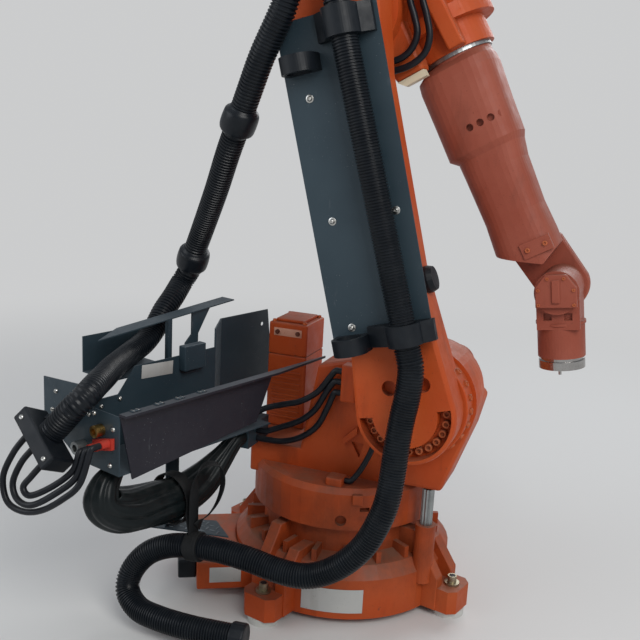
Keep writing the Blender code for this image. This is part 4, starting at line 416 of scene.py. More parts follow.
def in_frame(frame_matrix, places, out, up=(0, 0, 1)):
    """Frames for several places of one local frame, all facing the same way."""
    return [frame_matrix @ facing(place, out, up) for place in places]


# Mesh helpers

def piece(name, verts, faces, look, body=None, sharp=35.0):
    """A mesh object that rides on a body, smooth but for its sharp edges."""
    data = bpy.data.meshes.new(name)
    data.from_pydata([tuple(v) for v in verts], [], faces)
    data.update()
    data.shade_smooth()
    data.set_sharp_from_angle(angle=math.radians(sharp))
    data.materials.append(looks[look])
    obj = bpy.data.objects.new(name, data)
    scene.collection.objects.link(obj)
    if body:
        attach(obj, body)
    return obj


def rings_to_faces(count, sides):
    """Faces of a closed tube of rings, with both ends capped."""
    faces = [tuple(range(sides - 1, -1, -1))]
    for i in range(count - 1):
        a, b = i * sides, (i + 1) * sides
        for k in range(sides):
            n = (k + 1) % sides
            faces.append((a + k, a + n, b + n, b + k))
    last = (count - 1) * sides
    faces.append(tuple(range(last, last + sides)))
    return faces


def lathe(profile, sides=20):
    """Rings along +Z. A row is (radius, height) or (across flats / 2, height, 6) for a hexagon."""
    verts = []
    for row in profile:
        for k in range(sides):
            angle = math.tau * k / sides
            radius = row[0]
            if len(row) > 2:
                wedge = math.tau / row[2]
                radius /= math.cos((angle + wedge / 2) % wedge - wedge / 2)
            verts.append((radius * math.cos(angle), radius * math.sin(angle), row[1]))
    return verts, rings_to_faces(len(profile), sides)


def box_shape(x, y, z, edge):
    """A box on the plane z = 0 whose upper and side edges are bevelled."""
    mesh = bmesh.new()
    bmesh.ops.create_cube(mesh, size=1)
    bmesh.ops.scale(mesh, vec=(x, y, z), verts=mesh.verts)
    bmesh.ops.translate(mesh, vec=(0, 0, z / 2), verts=mesh.verts)
    bmesh.ops.bevel(mesh, geom=list(mesh.edges), offset=edge, segments=2, profile=0.5, affect="EDGES")
    mesh.verts.ensure_lookup_table()
    verts = [tuple(v.co) for v in mesh.verts]
    faces = [tuple(v.index for v in f.verts) for f in mesh.faces]
    mesh.free()
    return verts, faces


def scatter(name, shape, frames, look, body):
    """One mesh with a copy of a shape in every frame."""
    verts, faces = [], []
    for frame_matrix in frames:
        base = len(verts)
        verts += [frame_matrix @ Vector(v) for v in shape[0]]
        faces += [tuple(base + i for i in face) for face in shape[1]]
    return piece(name, verts, faces, look, body)


# Cords

HOSE_RADIUS = 0.041
SLEEVED = 1.38
RIB_PITCH = 0.0090
UPPER_RIB_PITCH = 0.0113
RIB_SHARES = (1.0, 1.0, 0.89, 0.89)
HOSE_SIDES = 26
CABLE_SIDES = 14
CABLE_STEP = 0.006
THIN_CABLE = 0.010
THICK_CABLE = 0.011


def smooth_path(points, spacing, steps=24):
    """The same curve as the solids follow: straight leads and a smooth run between them."""
    points = [Vector(point) for point in points]
    fine = []
    for a, b, c, d in zip(points, points[1:], points[2:], points[3:]):
        for i in range(steps):
            t = i / steps
            fine.append(
                (b * 2 + (c - a) * t + (a * 2 - b * 5 + c * 4 - d) * t * t
                 + (b * 3 - a - c * 3 + d) * t * t * t) / 2
            )
    fine = [points[0]] + fine + [points[-2], points[-1]]
    lengths = [0]
    for a, b in zip(fine, fine[1:]):
        lengths.append(lengths[-1] + (Vector(b[:3]) - Vector(a[:3])).length)
    count = max(round(lengths[-1] / spacing), 2)
    path, at = [], 0
    for i in range(count + 1):
        goal = lengths[-1] * i / count
        while at < len(fine) - 2 and lengths[at + 1] < goal:
            at += 1
        span = lengths[at + 1] - lengths[at]
        path.append(fine[at].lerp(fine[at + 1], (goal - lengths[at]) / span if span else 0))
    return path


def sweep(path, radius_at, sides):
    """Rings round a path, carried along without twist. radius_at gets the ring, angle and share."""
    places = [Vector(point[:3]) for point in path]
    normal = Vector((0, 0, 1))
    verts = []
    for i, place in enumerate(places):
        ahead = places[min(i + 1, len(places) - 1)] - places[max(i - 1, 0)]
        ahead.normalize()
        side = normal - ahead * normal.dot(ahead)
        if side.length < 1e-3:
            side = Vector((0, 1, 0)) - ahead * ahead.y
        normal = side.normalized()
        across = ahead.cross(normal)
        for k in range(sides):
            angle = math.tau * k / sides
            r = radius_at(i, angle, path[i])
            verts.append(place + (normal * math.cos(angle) + across * math.sin(angle)) * r)
    return verts, rings_to_faces(len(places), sides)


def hose_path(points, pitch=RIB_PITCH):
    """The places of a hose's rings."""
    return smooth_path(points, pitch / len(RIB_SHARES))


def corrugated(name, path, node, first=0):
    """A black corrugated hose: four rings a rib, plain where it is sleeved. first counts its first ring."""

    def radius_at(i, angle, point):
        share = point[3] if len(point) > 3 else 1.0
        if share > 1.02:  # a sleeve has no ribs
            return HOSE_RADIUS * share
        return HOSE_RADIUS * RIB_SHARES[(i + first) % len(RIB_SHARES)]

    verts, faces = sweep(path, radius_at, HOSE_SIDES)
    obj = piece(name, verts, faces, "black_hose", None, 50.0)
    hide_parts(node)
    return obj


def cable(name, points, radius, node, body):
    """A smooth cable that leaves the object and goes back into it."""
    path = smooth_path(points, CABLE_STEP)
    verts, faces = sweep(path, lambda i, angle, point: radius, CABLE_SIDES)
    obj = piece(name, verts, faces, "black_cable", body, 60.0)
    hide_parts(node)
    return obj


def arm_end(low_end, reach=0.0):
    """A point of the arm's hose line, beyond its lower or its upper end."""
    y = PLATE_FACE - 0.004 - HOSE_RADIUS
    low, high = Vector((0.074, y, 0.19)), Vector((0.047, y, 1.262))
    line = (high - low).normalized()
    return arm @ (low - line * reach if low_end else high + line * reach)


low_end, high_end = arm_end(True), arm_end(False)
hose = corrugated("ribbed_arm_hose", hose_path([
    low_end, low_end.lerp(high_end, 1 / 3), low_end.lerp(high_end, 2 / 3), high_end,
]), "arm_hose")
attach(hose, "lower_arm")

STRAP_RING = Vector((-0.3126, -0.5992, 0.270))
lower_path = hose_path([
    arm_end(True, SEAT), arm_end(True, 0.012), (0.3505, -0.4935, 0.940), (0.3485, -0.4945, 0.900),
    (0.3440, -0.4965, 0.855), (0.336, -0.50, 0.800), (0.329, -0.51, 0.719), (0.325, -0.52, 0.63),
    (0.318, -0.535, 0.542), (0.299, -0.55, 0.47), (0.263, -0.565, 0.391), (0.209, -0.58, 0.327),
    (0.139, -0.59, 0.277), (0.068, -0.60, 0.256), (-0.016, -0.60, 0.256), (-0.116, -0.60, 0.270),
    (-0.219, -0.60, 0.276), (-0.3126, -0.5992, 0.270), (-0.405, -0.602, 0.252),
    (-0.485, -0.612, 0.211), (-0.535, -0.632, 0.145), (-0.535, -0.66, 0.085), (-0.475, -0.69, 0.048),
    (-0.385, -0.71, 0.045), (-0.28, -0.715, 0.045), (-0.19, -0.708, 0.045), (-0.122, -0.70, 0.045),
])
# The lower hose is held as far as the strap's ring, and lies free beyond it
cut = min(range(len(lower_path)), key=lambda i: (lower_path[i] - STRAP_RING).length)
hose = corrugated("ribbed_lower_hose", lower_path[:cut + 1], "lower_hose")
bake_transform(hose)
free_path = lower_path[cut:]
hose = corrugated("ribbed_free_hose", free_path, "lower_hose", cut)
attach(hose, "frame")

# Places of the rear clamp and the couplers, in the bracket's frame
CLAMP_PLACE = Vector((-0.20, -1.19, 0.713))
CLAMP_OUT = Vector((-0.54, -0.41, -0.73)).normalized()
clamp_side = Vector((-0.947, 0, 0.323))
clamp_side = (clamp_side - CLAMP_OUT * clamp_side.dot(CLAMP_OUT)).normalized()

route = [(*arm_end(False, SEAT), 1), (*arm_end(False, 0.07), 1)] + [
    (0.008, -0.500, 2.112, 1), (-0.042, -0.505, 2.124, 1), (-0.085, -0.508, 2.073, 1),
    (-0.113, -0.508, 1.984, 1), (-0.184, -0.483, 1.858, 1), (-0.234, -0.455, 1.760, 1),
    (-0.262, -0.437, 1.706, 1), (-0.272, -0.430, 1.684, SLEEVED), (-0.298, -0.412, 1.638, SLEEVED),
    (-0.308, -0.404, 1.619, 1), (-0.350, -0.370, 1.547, 1), (-0.423, -0.300, 1.424, 1),
    (-0.518, -0.21, 1.28, 1), (-0.562, -0.178, 1.202, 1), (-0.573, -0.169, 1.18, SLEEVED),
    (-0.595, -0.152, 1.133, SLEEVED), (-0.604, -0.148, 1.11, 1),
]
local = [
    (-0.42, -0.452, 1.062), (-0.395, -0.518, 1.018), (-0.385, -0.572, 0.975), (-0.372, -0.625, 0.922),
    (-0.352, -0.69, 0.885), (-0.325, -0.777, 0.864), (-0.288, -0.848, 0.858), (-0.238, -0.926, 0.858),
    (-0.185, -1.0, 0.856), (-0.138, -1.072, 0.852), (-0.112, -1.128, 0.836), (-0.130, -1.158, 0.802),
]
local += [CLAMP_PLACE - CLAMP_OUT * reach for reach in (0.03, SEAT)]
route += [(*(bracket @ Vector(point)), 1) for point in local]
hose = corrugated("ribbed_upper_hose", hose_path(route, UPPER_RIB_PITCH), "upper_hose")
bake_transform(hose)


# Cables

COUPLERS = ((-0.043, 0.700), (-0.069, 0.687), (-0.097, 0.676))
rear_routes = (
    [(-0.312, -1.247, 0.632), (-0.335, -1.268, 0.555), (-0.308, -1.274, 0.487),
     (-0.248, -1.262, 0.468), (-0.175, -1.245, 0.488), (-0.098, -1.225, 0.541), (-0.059, -1.189, 0.594)],
    [(-0.266, -1.25, 0.615), (-0.280, -1.27, 0.553), (-0.250, -1.275, 0.510), (-0.195, -1.262, 0.505),
     (-0.121, -1.228, 0.556), (-0.079, -1.187, 0.608)],
    [(-0.203, -1.258, 0.592), (-0.217, -1.276, 0.560), (-0.190, -1.270, 0.540), (-0.140, -1.225, 0.572),
     (-0.098, -1.185, 0.622)],
)
for number, (route, start, spot) in enumerate(zip(rear_routes, (0.055, 0.005, -0.06), COUPLERS), 1):
    points = [CLAMP_PLACE + clamp_side * start + CLAMP_OUT * reach for reach in (0.055 + SEAT, 0.08)] + route
    points += [(spot[0], -1.1586, spot[1]), (spot[0], -1.1289, spot[1])]
    world_points = [bracket @ Vector(point) for point in points]
    cable(f"rear_lead_{number}", world_points, THIN_CABLE, f"rear_cable_{number}", "frame")

DRIVE_Y = -0.23
drive_routes = (
    [(-0.33, -0.26, 0.6153), (-0.305, -0.25, 0.6153), (-0.245, DRIVE_Y, 0.655), (-0.175, DRIVE_Y, 0.682),
     (-0.107, DRIVE_Y, 0.706), (-0.045, DRIVE_Y, 0.750), (-0.003, DRIVE_Y, 0.808), (0.02, DRIVE_Y, 0.838),
     (0.0447, DRIVE_Y, 0.838)],
    [(-0.2697, DRIVE_Y, 0.57), (-0.24, DRIVE_Y, 0.57), (-0.175, DRIVE_Y, 0.598), (-0.104, DRIVE_Y, 0.635),
     (-0.05, DRIVE_Y, 0.685), (-0.012, DRIVE_Y, 0.755), (0.018, DRIVE_Y, 0.799), (0.0447, DRIVE_Y, 0.799)],
    [(-0.2697, DRIVE_Y, 0.54), (-0.235, DRIVE_Y, 0.54), (-0.17, DRIVE_Y, 0.545), (-0.101, DRIVE_Y, 0.572),
     (-0.04, DRIVE_Y, 0.625), (-0.005, DRIVE_Y, 0.698), (0.02, DRIVE_Y, 0.760), (0.0447, DRIVE_Y, 0.760)],
)
for number, route in enumerate(drive_routes, 1):
    cable(f"drive_lead_{number}", route, THICK_CABLE, f"drive_cable_{number}", "frame")

rim = Vector((AXIS_2_X, -0.245, AXIS_2_Z))
inward = Vector((-0.646, 0, -0.764))
cable("hub_lead", [
    (0.0903, -0.275, 0.464), (0.1103, -0.275, 0.464), (0.138, -0.265, 0.503), (0.162, -0.255, 0.555),
    rim + inward * 0.208, rim + inward * 0.1783,
], THIN_CABLE, "hub_cable", "frame")

ARM_LEAD_Y = -0.235
loops = (
    ([(-0.085, 0.245), (-0.062, 0.236), (-0.01, 0.215), (0.065, 0.184), (0.118, 0.175),
      (0.165, 0.163), (0.196, 0.135), (0.210, 0.098), (0.207, 0.058), (0.190, 0.031)], 6.0),
    ([(-0.085, 0.285), (-0.058, 0.278), (0, 0.256), (0.075, 0.222), (0.135, 0.210), (0.195, 0.192),
      (0.232, 0.158), (0.244, 0.108), (0.236, 0.052), (0.215, 0.012)], -6.0),
)
for number, (route, angle) in enumerate(loops, 1):
    points = [(route[0][0], -0.1473, route[0][1]), (route[0][0], -0.1773, route[0][1])]
    points += [(route[1][0], ARM_LEAD_Y + THICK_CABLE, route[1][1])]
    points += [(x, ARM_LEAD_Y, z) for x, z in route[2:]]
    out = Vector((math.cos(math.radians(angle)), 0, math.sin(math.radians(angle))))
    points += [Vector((0, ARM_LEAD_Y, 0)) + out * (0.1653 + reach) for reach in (THICK_CABLE, 0)]
    cable(f"arm_lead_{number}", [upper @ Vector(p) for p in points], THICK_CABLE,
          f"arm_cable_{number}", "upper_arm")


# The film-wrapped bundle: strands show through as long folds, with creases across

BUNDLE_RADIUS = 0.075
bundle_route = [
    (-0.498, -0.798, 0.5997, 0.42), (-0.498, -0.798, 0.575, 0.46), (-0.508, -0.835, 0.535, 0.66),
    (-0.507, -0.845, 0.485, 0.84), (-0.485, -0.77, 0.435, 1), (-0.453, -0.654, 0.413, 1),
    (-0.42, -0.548, 0.405, 0.98), (-0.382, -0.452, 0.43, 0.86), (-0.343, -0.378, 0.492, 0.6),
    (-0.308, -0.332, 0.555, 0.42), (-0.3025, -0.3203, 0.56, 0.42), (-0.3025, -0.3003, 0.56, 0.42),
]
bundle_path = smooth_path(bundle_route, CABLE_STEP)


def bundle_radius(i, angle, point):
    """The bundle's radius at a ring and an angle: strands, turning slowly, and creases."""
    length = len(bundle_path)
    ends = min(1.0, min(i, length - 1 - i) / 8)
    twist = angle + i * 0.012
    strands = abs(math.sin(3.5 * twist)) * 0.11 + abs(math.sin(6.5 * twist + 1.3)) * 0.05
    crease = 0.010 * math.sin(0.21 * i + 2 * math.sin(2 * angle))
    crease = crease + 0.012 * math.sin(0.13 * i + 3 * angle)
    return BUNDLE_RADIUS * point[3] * (0.90 + ends * (strands - 0.05 + crease))


verts, faces = sweep(bundle_path, bundle_radius, 84)
bundle = piece("wrapped_bundle", verts, faces, "black_film", "frame", 80.0)
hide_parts("cable_bundle")


# Fasteners

def socket_screw(head, height, socket):
    """A cap screw with a bevelled head and a hexagon socket."""
    c = head * 0.12
    return lathe([
        (head, 0), (head, height - c), (head - c, height), (socket * 1.12, height),
        (socket, height - c / 2, 6), (socket, height * 0.45, 6), (socket * 0.3, height * 0.38),
    ], 24)


def button_screw(head, height, socket):
    """A low domed screw with a hexagon socket."""
    return lathe([
        (head, 0), (head * 0.97, height * 0.35), (head * 0.82, height * 0.75), (head * 0.58, height),
        (socket, height * 0.96, 6), (socket, height * 0.3, 6), (socket * 0.3, height * 0.25),
    ], 20)


CRESCENT_RADIUS = 0.129
RING_RADIUS = 0.178
crescent = []
for i in range(12):
    a = math.radians(-6.5 - 15.2 * i)
    crescent.append((CRESCENT_RADIUS * math.cos(a), -0.365, CRESCENT_RADIUS * math.sin(a)))
scatter("hub_screws", socket_screw(0.0125, 0.020, 0.0066), in_frame(arm, crescent, (0, -1, 0)),
        "dusty_screw", "lower_arm")

rim_places = []
for angle in range(-75, 60, 15):
    a = math.radians(angle)
    rim_places.append((AXIS_2_X + RING_RADIUS * math.cos(a), -0.2585, AXIS_2_Z + RING_RADIUS * math.sin(a)))
ring_frames = [facing(p, (p[0] - AXIS_2_X, 0, p[2] - AXIS_2_Z), (0, 1, 0)) for p in rim_places]
scatter("ring_screws", socket_screw(0.0108, 0.0075, 0.0058), ring_frames, "dusty_screw", "frame")

WASHER_THICKNESS = 0.0022
plate_screws = [(-0.107, PLATE_FACE, z) for z in (0.307, 0.642, 1.017)] + [(0.10, PLATE_FACE, 0.642)]
plate_frames = in_frame(arm, plate_screws, (0, -1, 0))
scatter("plate_washers", lathe([(0.0125, 0), (0.0125, 0.0016), (0.0115, WASHER_THICKNESS)], 24),
        plate_frames, "bright_screw", "lower_arm")
scatter("plate_screws", button_screw(0.0085, 0.0065, 0.0034),
        [m @ Matrix.Translation((0, 0, WASHER_THICKNESS)) for m in plate_frames],
        "bright_screw", "lower_arm")

cover = []
for x, z in ((-0.050, 0.026), (-0.012, 0.056), (0.036, 0.056)):
    cover += [(x, -0.098 - SEAT - 0.018, z), (x, -0.098 - SEAT - 0.018, -z)]
scatter("cover_screws", socket_screw(0.0055, 0.005, 0.0028), in_frame(wrist, cover, (0, -1, 0), (1, 0, 0)),
        "dusty_screw", "wrist")
scatter("pad_screws", socket_screw(0.008, 0.007, 0.004),
        in_frame(upper, [(0.925, -0.116, FOREARM_RISE + z) for z in (-0.025, 0.035)], (0, -1, 0)),
        "dusty_screw", "forearm")

sheet_screw = button_screw(0.008, 0.006, 0.0032)
end_screws = [(x, -1.088, z) for x, z in (
    (-0.03, 0.745), (-0.045, 0.625), (-0.145, 0.765), (-0.12, 0.775), (-0.23, 0.805), (-0.31, 0.80),
    (-0.33, 0.735),
)]
scatter("end_panel_screws", sheet_screw, in_frame(bracket, end_screws, (0, -1, 0)), "bright_screw", "frame")
back_screws = [(-0.20, y, z) for y, z in ((-1.0, 0.755), (-0.925, 0.765), (-0.655, 0.835), (-0.60, 0.835))]
scatter("back_panel_screws", sheet_screw, in_frame(bracket, back_screws, (1, 0, 0)), "bright_screw", "frame")
clamp_y = CLAMP_OUT.cross(clamp_side).normalized()
clamp_bolts = []
for x in (-0.082, 0.082):
    spot = CLAMP_PLACE + clamp_side * x - clamp_y * 0.05 + CLAMP_OUT * 0.028
    clamp_bolts.append(bracket @ facing(spot, -clamp_y, clamp_side))
scatter("clamp_screws", button_screw(0.008, 0.005, 0.0034), clamp_bolts, "bright_screw", "frame")

foot_tops = []
for number in range(1, 5):
    low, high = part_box(f"anchor_bolt_{number}")
    foot_tops.append(Matrix.Translation(((low[0] + high[0]) / 2, (low[1] + high[1]) / 2, high[2])))
# Painted shade: a flat dark hexagon on each anchor bolt's head stands in for the shaded socket recess.
scatter("foot_bolt_socket_shade", lathe([(0.0105, -0.0002, 6), (0.0105, 0.0004, 6), (0.0098, 0.0006, 6)], 24),
        foot_tops, "black_plastic", "base")


# Axis 1 motor

CORNER = 0.016
low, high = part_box("axis1_motor_cover")
top = []
for x in (low[0] + CORNER, high[0] - CORNER):
    top += [(x, y, high[2]) for y in (low[1] + CORNER, high[1] - CORNER)]
scatter("motor_cover_screws", socket_screw(0.0075, 0.008, 0.004), [Matrix.Translation(p) for p in top],
        "orange_fastener", "frame")
middle = (low[0] + high[0]) / 2
scatter("motor_lid", box_shape(0.115, 0.14, 0.012, 0.004),
        [Matrix.Translation((middle, (low[1] + high[1]) / 2, high[2]))], "orange_paint", "frame")
motor_low, motor_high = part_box("axis1_motor")
scatter("motor_nameplate", box_shape(0.112, 0.030, 0.0012, 0.0005),
        [facing((middle, low[1], low[2] + 0.088), (0, -1, 0))], "pale_plate", "frame")
scatter("motor_knobs", lathe([(0.0085, 0), (0.0085, 0.006), (0.0065, 0.009), (0.003, 0.009)], 20),
        [facing((middle + x, low[1] - 0.0012, low[2] + 0.088), (0, -1, 0)) for x in (-0.041, 0.041)],
        "brown_knob", "frame")
fins = []
for i in range(9):
    place = ((motor_low[0] + motor_high[0]) / 2, motor_low[1], motor_low[2] + 0.04 + 0.022 * i)
    fins.append(turned(place, "X", 90))
scatter("motor_fins", box_shape(0.118, 0.009, 0.005, 0.0018), fins, "orange_paint", "frame")


# Tread of the chequer plate and the strap

TREAD_PITCH = 0.026
CHEQUER_TOP = 0.25
OUTLINE = ((-0.405, -0.789), (-0.333, -0.818), (0.021, -0.628), (-0.097, -0.568))


def inside(x, y, margin):
    """Whether a place lies inside the plate's outline, at least that far from its edges."""
    for (ax, ay), (bx, by) in zip(OUTLINE, OUTLINE[1:] + OUTLINE[:1]):
        if ((bx - ax) * (y - ay) - (by - ay) * (x - ax)) / math.hypot(bx - ax, by - ay) < margin:
            return False
    return True


lugs = []
for row in range(-16, 8):
    for column in range(-16, 8):
        x, y = TREAD_PITCH * column, -0.66 + TREAD_PITCH * row
        if inside(x, y, TREAD_PITCH / 2):
            tilt = 45 if (row + column) % 2 else -45
            lugs.append(bracket @ turned((x, y, CHEQUER_TOP), "Z", tilt - 28))
lug = lathe([(0.0032, 0), (0.0026, 0.0010), (0.0012, 0.0014)], 12)
lug = ([(x * 4.0, y, z) for x, y, z in lug[0]], lug[1])
scatter("tread_lugs", lug, lugs, "worn_tread", "frame")


def ribbon(name, path, wides, half, thick, look, body):
    """A flat band along a path, with rounded edges. wides are the directions of its width."""
    verts = []
    section = (
        (-1, -0.3), (-0.97, -0.5), (0.97, -0.5), (1, -0.3), (1, 0.3), (0.97, 0.5), (-0.97, 0.5), (-1, 0.3),
    )
    for i, place in enumerate(path):
        ahead = (path[min(i + 1, len(path) - 1)] - path[max(i - 1, 0)]).normalized()
        wide = wides[i] - ahead * wides[i].dot(ahead)
        wide.normalize()
        out = ahead.cross(wide)
        verts += [place + wide * (half * a) + out * (thick * b) for a, b in section]
    return piece(name, verts, rings_to_faces(len(path), len(section)), look, body, 50.0)


strap_points = [
    (0.0085, -0.786, 0.312), (0.0085, -0.786, 0.34), (0.009, -0.786, 0.42), (0.012, -0.785, 0.50),
    (0.022, -0.768, 0.545), (0.036, -0.735, 0.556), (0.046, -0.702, 0.535), (0.046, -0.690, 0.48),
    (0.038, -0.700, 0.42), (0.026, -0.725, 0.375), (0.014, -0.757, 0.35), (0.0125, -0.775, 0.335),
]
strap_path = smooth_path([bracket @ Vector(p) for p in strap_points], 0.008)
strap_wides = []
for i in range(len(strap_path)):
    share = i / (len(strap_path) - 1)
    swing = math.radians(64) * math.sin(math.pi * max(0.0, (share - 0.25) / 0.75))
    strap_wides.append(bracket.to_3x3() @ Vector((-math.sin(swing), math.cos(swing), 0)))
ribbon("strap_loop", strap_path, strap_wides, 0.021, 0.003, "black_webbing", "frame")

# The strap's band goes from its ring up and round the bundle
BUNDLE_X, BUNDLE_Z = -0.0994, 0.405
BAND_RADIUS = 0.087
band_points = [(0.010, -0.786, 0.312), (0.003, -0.786, 0.335), (-0.006, -0.785, 0.37)]
for angle in range(190, -165, -25):
    a = math.radians(180 - angle)
    band_points.append((BUNDLE_X + BAND_RADIUS * math.cos(a), -0.776, BUNDLE_Z + BAND_RADIUS * math.sin(a)))
band_path = smooth_path([bracket @ Vector(p) for p in band_points], 0.010)
band_wides = [bracket.to_3x3() @ Vector((0, 1, 0))] * len(band_path)
band = ribbon("strap_band", band_path, band_wides, 0.022, 0.004, "black_webbing", "frame")
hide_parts("hose_strap")
ring = lathe([
    (0.0445, -0.024), (0.0480, -0.024), (0.049, -0.023), (0.049, -0.012), (0.0502, -0.011), (0.0502, 0.011),
    (0.049, 0.012), (0.049, 0.023), (0.0480, 0.024), (0.0445, 0.024),
], 40)
scatter("strap_ring", ring, [bracket @ facing((0.0183, -0.7848, 0.270), (-0.96, -0.27, -0.13), (0, 1, 0))],
        "black_webbing", "frame")


# The other motors: collars, seams, plugs, screws and bare plates

def screw_ring(name, frame_matrix, radius, count, axis, look, body, start=0.0, size=1.0):
    """Cap screws in a circle on a face that looks along the axis, in the frame's own directions."""
    out = Vector(axis)
    one = Vector((0, 0, 1)) if abs(out.z) < 0.5 else Vector((1, 0, 0))
    two = out.cross(one)
    frames = []
    for i in range(count):
        a = math.radians(start) + math.tau * i / count
        place = one * (radius * math.cos(a)) + two * (radius * math.sin(a))
        frames.append(frame_matrix @ facing(place, out, one))
    scatter(name, socket_screw(0.009 * size, 0.011 * size, 0.0048 * size), frames, look, body)


def square_band(half, depth, edge=0.003):
    """A band round a square motor, on the plane z = 0."""
    return box_shape(2 * half, 2 * half, depth, edge)


plug = lathe([
    (0.019, 0), (0.019, 0.004), (0.0155, 0.005), (0.0155, 0.016), (0.0185, 0.017), (0.0185, 0.031),
    (0.0165, 0.034), (0.012, 0.0345), (0.0115, 0.042), (0.0095, 0.044),
], 24)
AXIS_2_MOTOR_Y = 0.1003
profile = [
    (0.117, 0), (0.120, 0.003), (0.120, 0.052), (0.117, 0.055), (0.080, 0.055), (0.080, 0.066),
    (0.077, 0.069), (0.070, 0.070),
]
for i in range(7):
    at = 0.080 + 0.013 * i
    profile += [(0.066, at), (0.066, at + 0.003), (0.0705, at + 0.004), (0.0705, at + 0.009)]
profile += [
    (0.066, 0.176), (0.066, 0.180), (0.071, 0.182), (0.071, 0.232), (0.068, 0.236), (0.050, 0.238),
    (0.048, 0.2397),
]
motor_body = scatter("axis2_motor_body", lathe(profile, 56),
                     [turned((AXIS_2_X, AXIS_2_MOTOR_Y, AXIS_2_Z), "X", -90)], "orange_paint", "frame")
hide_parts("axis2_motor")
screw_ring("axis2_end_screws", Matrix.Translation((AXIS_2_X, AXIS_2_MOTOR_Y + 0.2365, AXIS_2_Z)), 0.060, 6,
           (0, 1, 0), "dusty_screw", "frame", 30.0, 0.6)
plug_frames = []
for out in (Vector((-1, 0, 0)), Vector((0, 0, -1))):
    middle = Matrix.Translation((AXIS_2_X, AXIS_2_MOTOR_Y + 0.207, AXIS_2_Z))
    plug_frames.append(middle @ facing(out * 0.069, out, (0, 1, 0)))
scatter("axis2_motor_plug", plug, plug_frames, "black_plastic", "frame")

# The motors behind the upper arm. A row is: name, frame with Z along the motor, half its width, its length,
# the side of its plugs, whether its end has a cap
PLUG_SHARES = (0.86, 0.50)
SEAM_SHARES = (0.30, 0.72)
motors = [("axis3", upper @ turned((0, 0.2403, 0), "X", -90), 0.07, 0.15, (-1, 0), True)]
for number, y, z, side in ((4, -0.059, 0.141, (0, -1)), (5, 0.059, 0.141, (0, 1)), (6, 0, 0.259, (0, 1))):
    place = upper @ turned((-0.2403, y, z), "Y", -90)
    motors.append((f"axis{number}", place, 0.0525, 0.23, side, False))
for name, place, half, length, side, capped in motors:
    scatter(f"{name}_motor_collar", square_band(half + 0.004, 0.013), [place], "orange_paint", "upper_arm")
    seams = [place @ Matrix.Translation((0, 0, share * length)) for share in SEAM_SHARES]
    scatter(f"{name}_motor_seams", square_band(half + 0.0012, 0.004, 0.001), seams,
            "black_plastic", "upper_arm")
    corners = [(x * (half - 0.009), y * (half - 0.009)) for x in (-1, 1) for y in (-1, 1)]
    if capped:
        scatter(f"{name}_motor_end_screws", socket_screw(0.0055, 0.006, 0.0028),
                [place @ Matrix.Translation((x, y, length - SEAT)) for x, y in corners],
                "dusty_screw", "upper_arm")
        scatter(f"{name}_motor_end_cap", box_shape(2 * half - 0.042, 2 * half - 0.042, 0.004, 0.0015),
                [place @ Matrix.Translation((0, 0, length - SEAT))], "orange_paint", "upper_arm")
    out = Vector((side[0], side[1], 0))
    spots = []
    for share in PLUG_SHARES:
        spot = out * (half - SEAT) + Vector((0, 0, share * length))
        spots.append(place @ facing(spot, out, (0, 0, 1)))
    scatter(f"{name}_motor_plug", plug, spots, "black_plastic", "upper_arm")
    across = Vector((-side[1], side[0], 0))
    tag = across * (half - SEAT) + Vector((0, 0, 0.51 * length))
    scatter(f"{name}_motor_tag", box_shape(half * 0.95, length * 0.22, 0.0009, 0.0004),
            [place @ facing(tag, across, (0, 0, 1))], "pale_plate", "upper_arm")

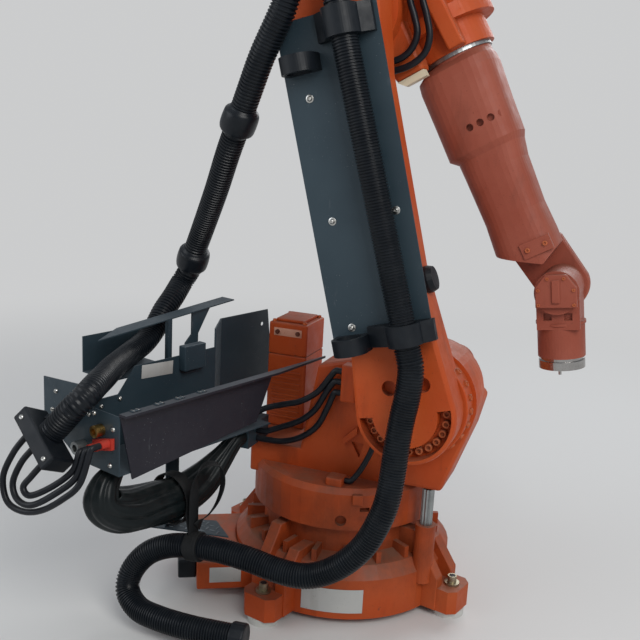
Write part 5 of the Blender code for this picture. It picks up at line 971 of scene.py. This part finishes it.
screw_ring("axis2_cover_screws", Matrix.Translation((AXIS_2_X, 0.1553, AXIS_2_Z)), 0.107, 8, (0, 1, 0),
           "dusty_screw", "frame", 22.5)
screw_ring("axis3_cover_screws", upper @ Matrix.Translation((0, 0.2403, 0)), 0.116, 8, (0, 1, 0),
           "dusty_screw", "upper_arm", 22.5)
screw_ring("barrel_screws", upper @ Matrix.Translation((-0.24, 0, FOREARM_RISE)), 0.134, 6, (-1, 0, 0),
           "dusty_screw", "upper_arm", 52.0, 0.9)
# Painted shade: small dark screw shapes on the tool flange stand in for its shaded holes.
screw_ring("flange_hole_shade", wrist @ Matrix.Translation((0.2651, 0, 0)), 0.050, 6, (1, 0, 0),
           "black_plastic", "tool", 30.0, 0.45)


# Tabs and bare labels

def skirt_label(name, first, last, low_z, high_z, radius=0.4058, thickness=0.0009, steps=30):
    """A bare label that follows the round skirt of the base, from one angle to another."""
    verts, faces = [], []
    for layer in (0.0, thickness):
        for i in range(steps + 1):
            a = math.radians(first + (last - first) * i / steps)
            for z in (low_z, high_z):
                verts.append(((radius + layer) * math.cos(a), (radius + layer) * math.sin(a), z))
    half = 2 * (steps + 1)
    for i in range(steps):
        a, b = 2 * i, 2 * i + 2
        faces.append((half + a, half + b, half + b + 1, half + a + 1))
        faces.append((a, a + 1, b + 1, b))
        faces.append((a, b, half + b, half + a))
        faces.append((a + 1, half + a + 1, half + b + 1, b + 1))
    faces.append((0, half, half + 1, 1))
    end = 2 * steps
    faces.append((end, end + 1, half + end + 1, half + end))
    return piece(name, verts, faces, "white_label", "base", 30.0)


skirt_label("label_front", -90.0, -59.5, 0.024, 0.112)
panel_label = facing((-0.1995, -0.765, 0.832), (1, 0, 0), (0, 0.06, 1))
scatter("label_back_panel", box_shape(0.138, 0.046, 0.0007, 0.0003), [bracket @ panel_label],
        "white_label", "frame")
scatter("label_connector_box", box_shape(0.112, 0.058, 0.0008, 0.0003),
        [facing((-0.2934, -0.4067, 0.076), (0.511, -0.86, 0))], "white_label", "base")

TAB_PLACES = (-1.035, -0.94, -0.855, -0.76)
tabs, tab_slots = [], []
for y in TAB_PLACES:
    tabs.append(bracket @ facing((0.006, y, 0.80), (0, 0, 1), (0, 1, 0)))
    for shift in (-0.009, 0.009):
        tab_slots.append(bracket @ facing((0.006, y + shift, 0.8029), (0, 0, 1), (0, 1, 0)))
scatter("lip_tabs", box_shape(0.016, 0.034, 0.003, 0.001), tabs, "slate_sheet", "frame")
scatter("lip_tab_slots", box_shape(0.017, 0.004, 0.0016, 0.0005), tab_slots, "bright_screw", "frame")
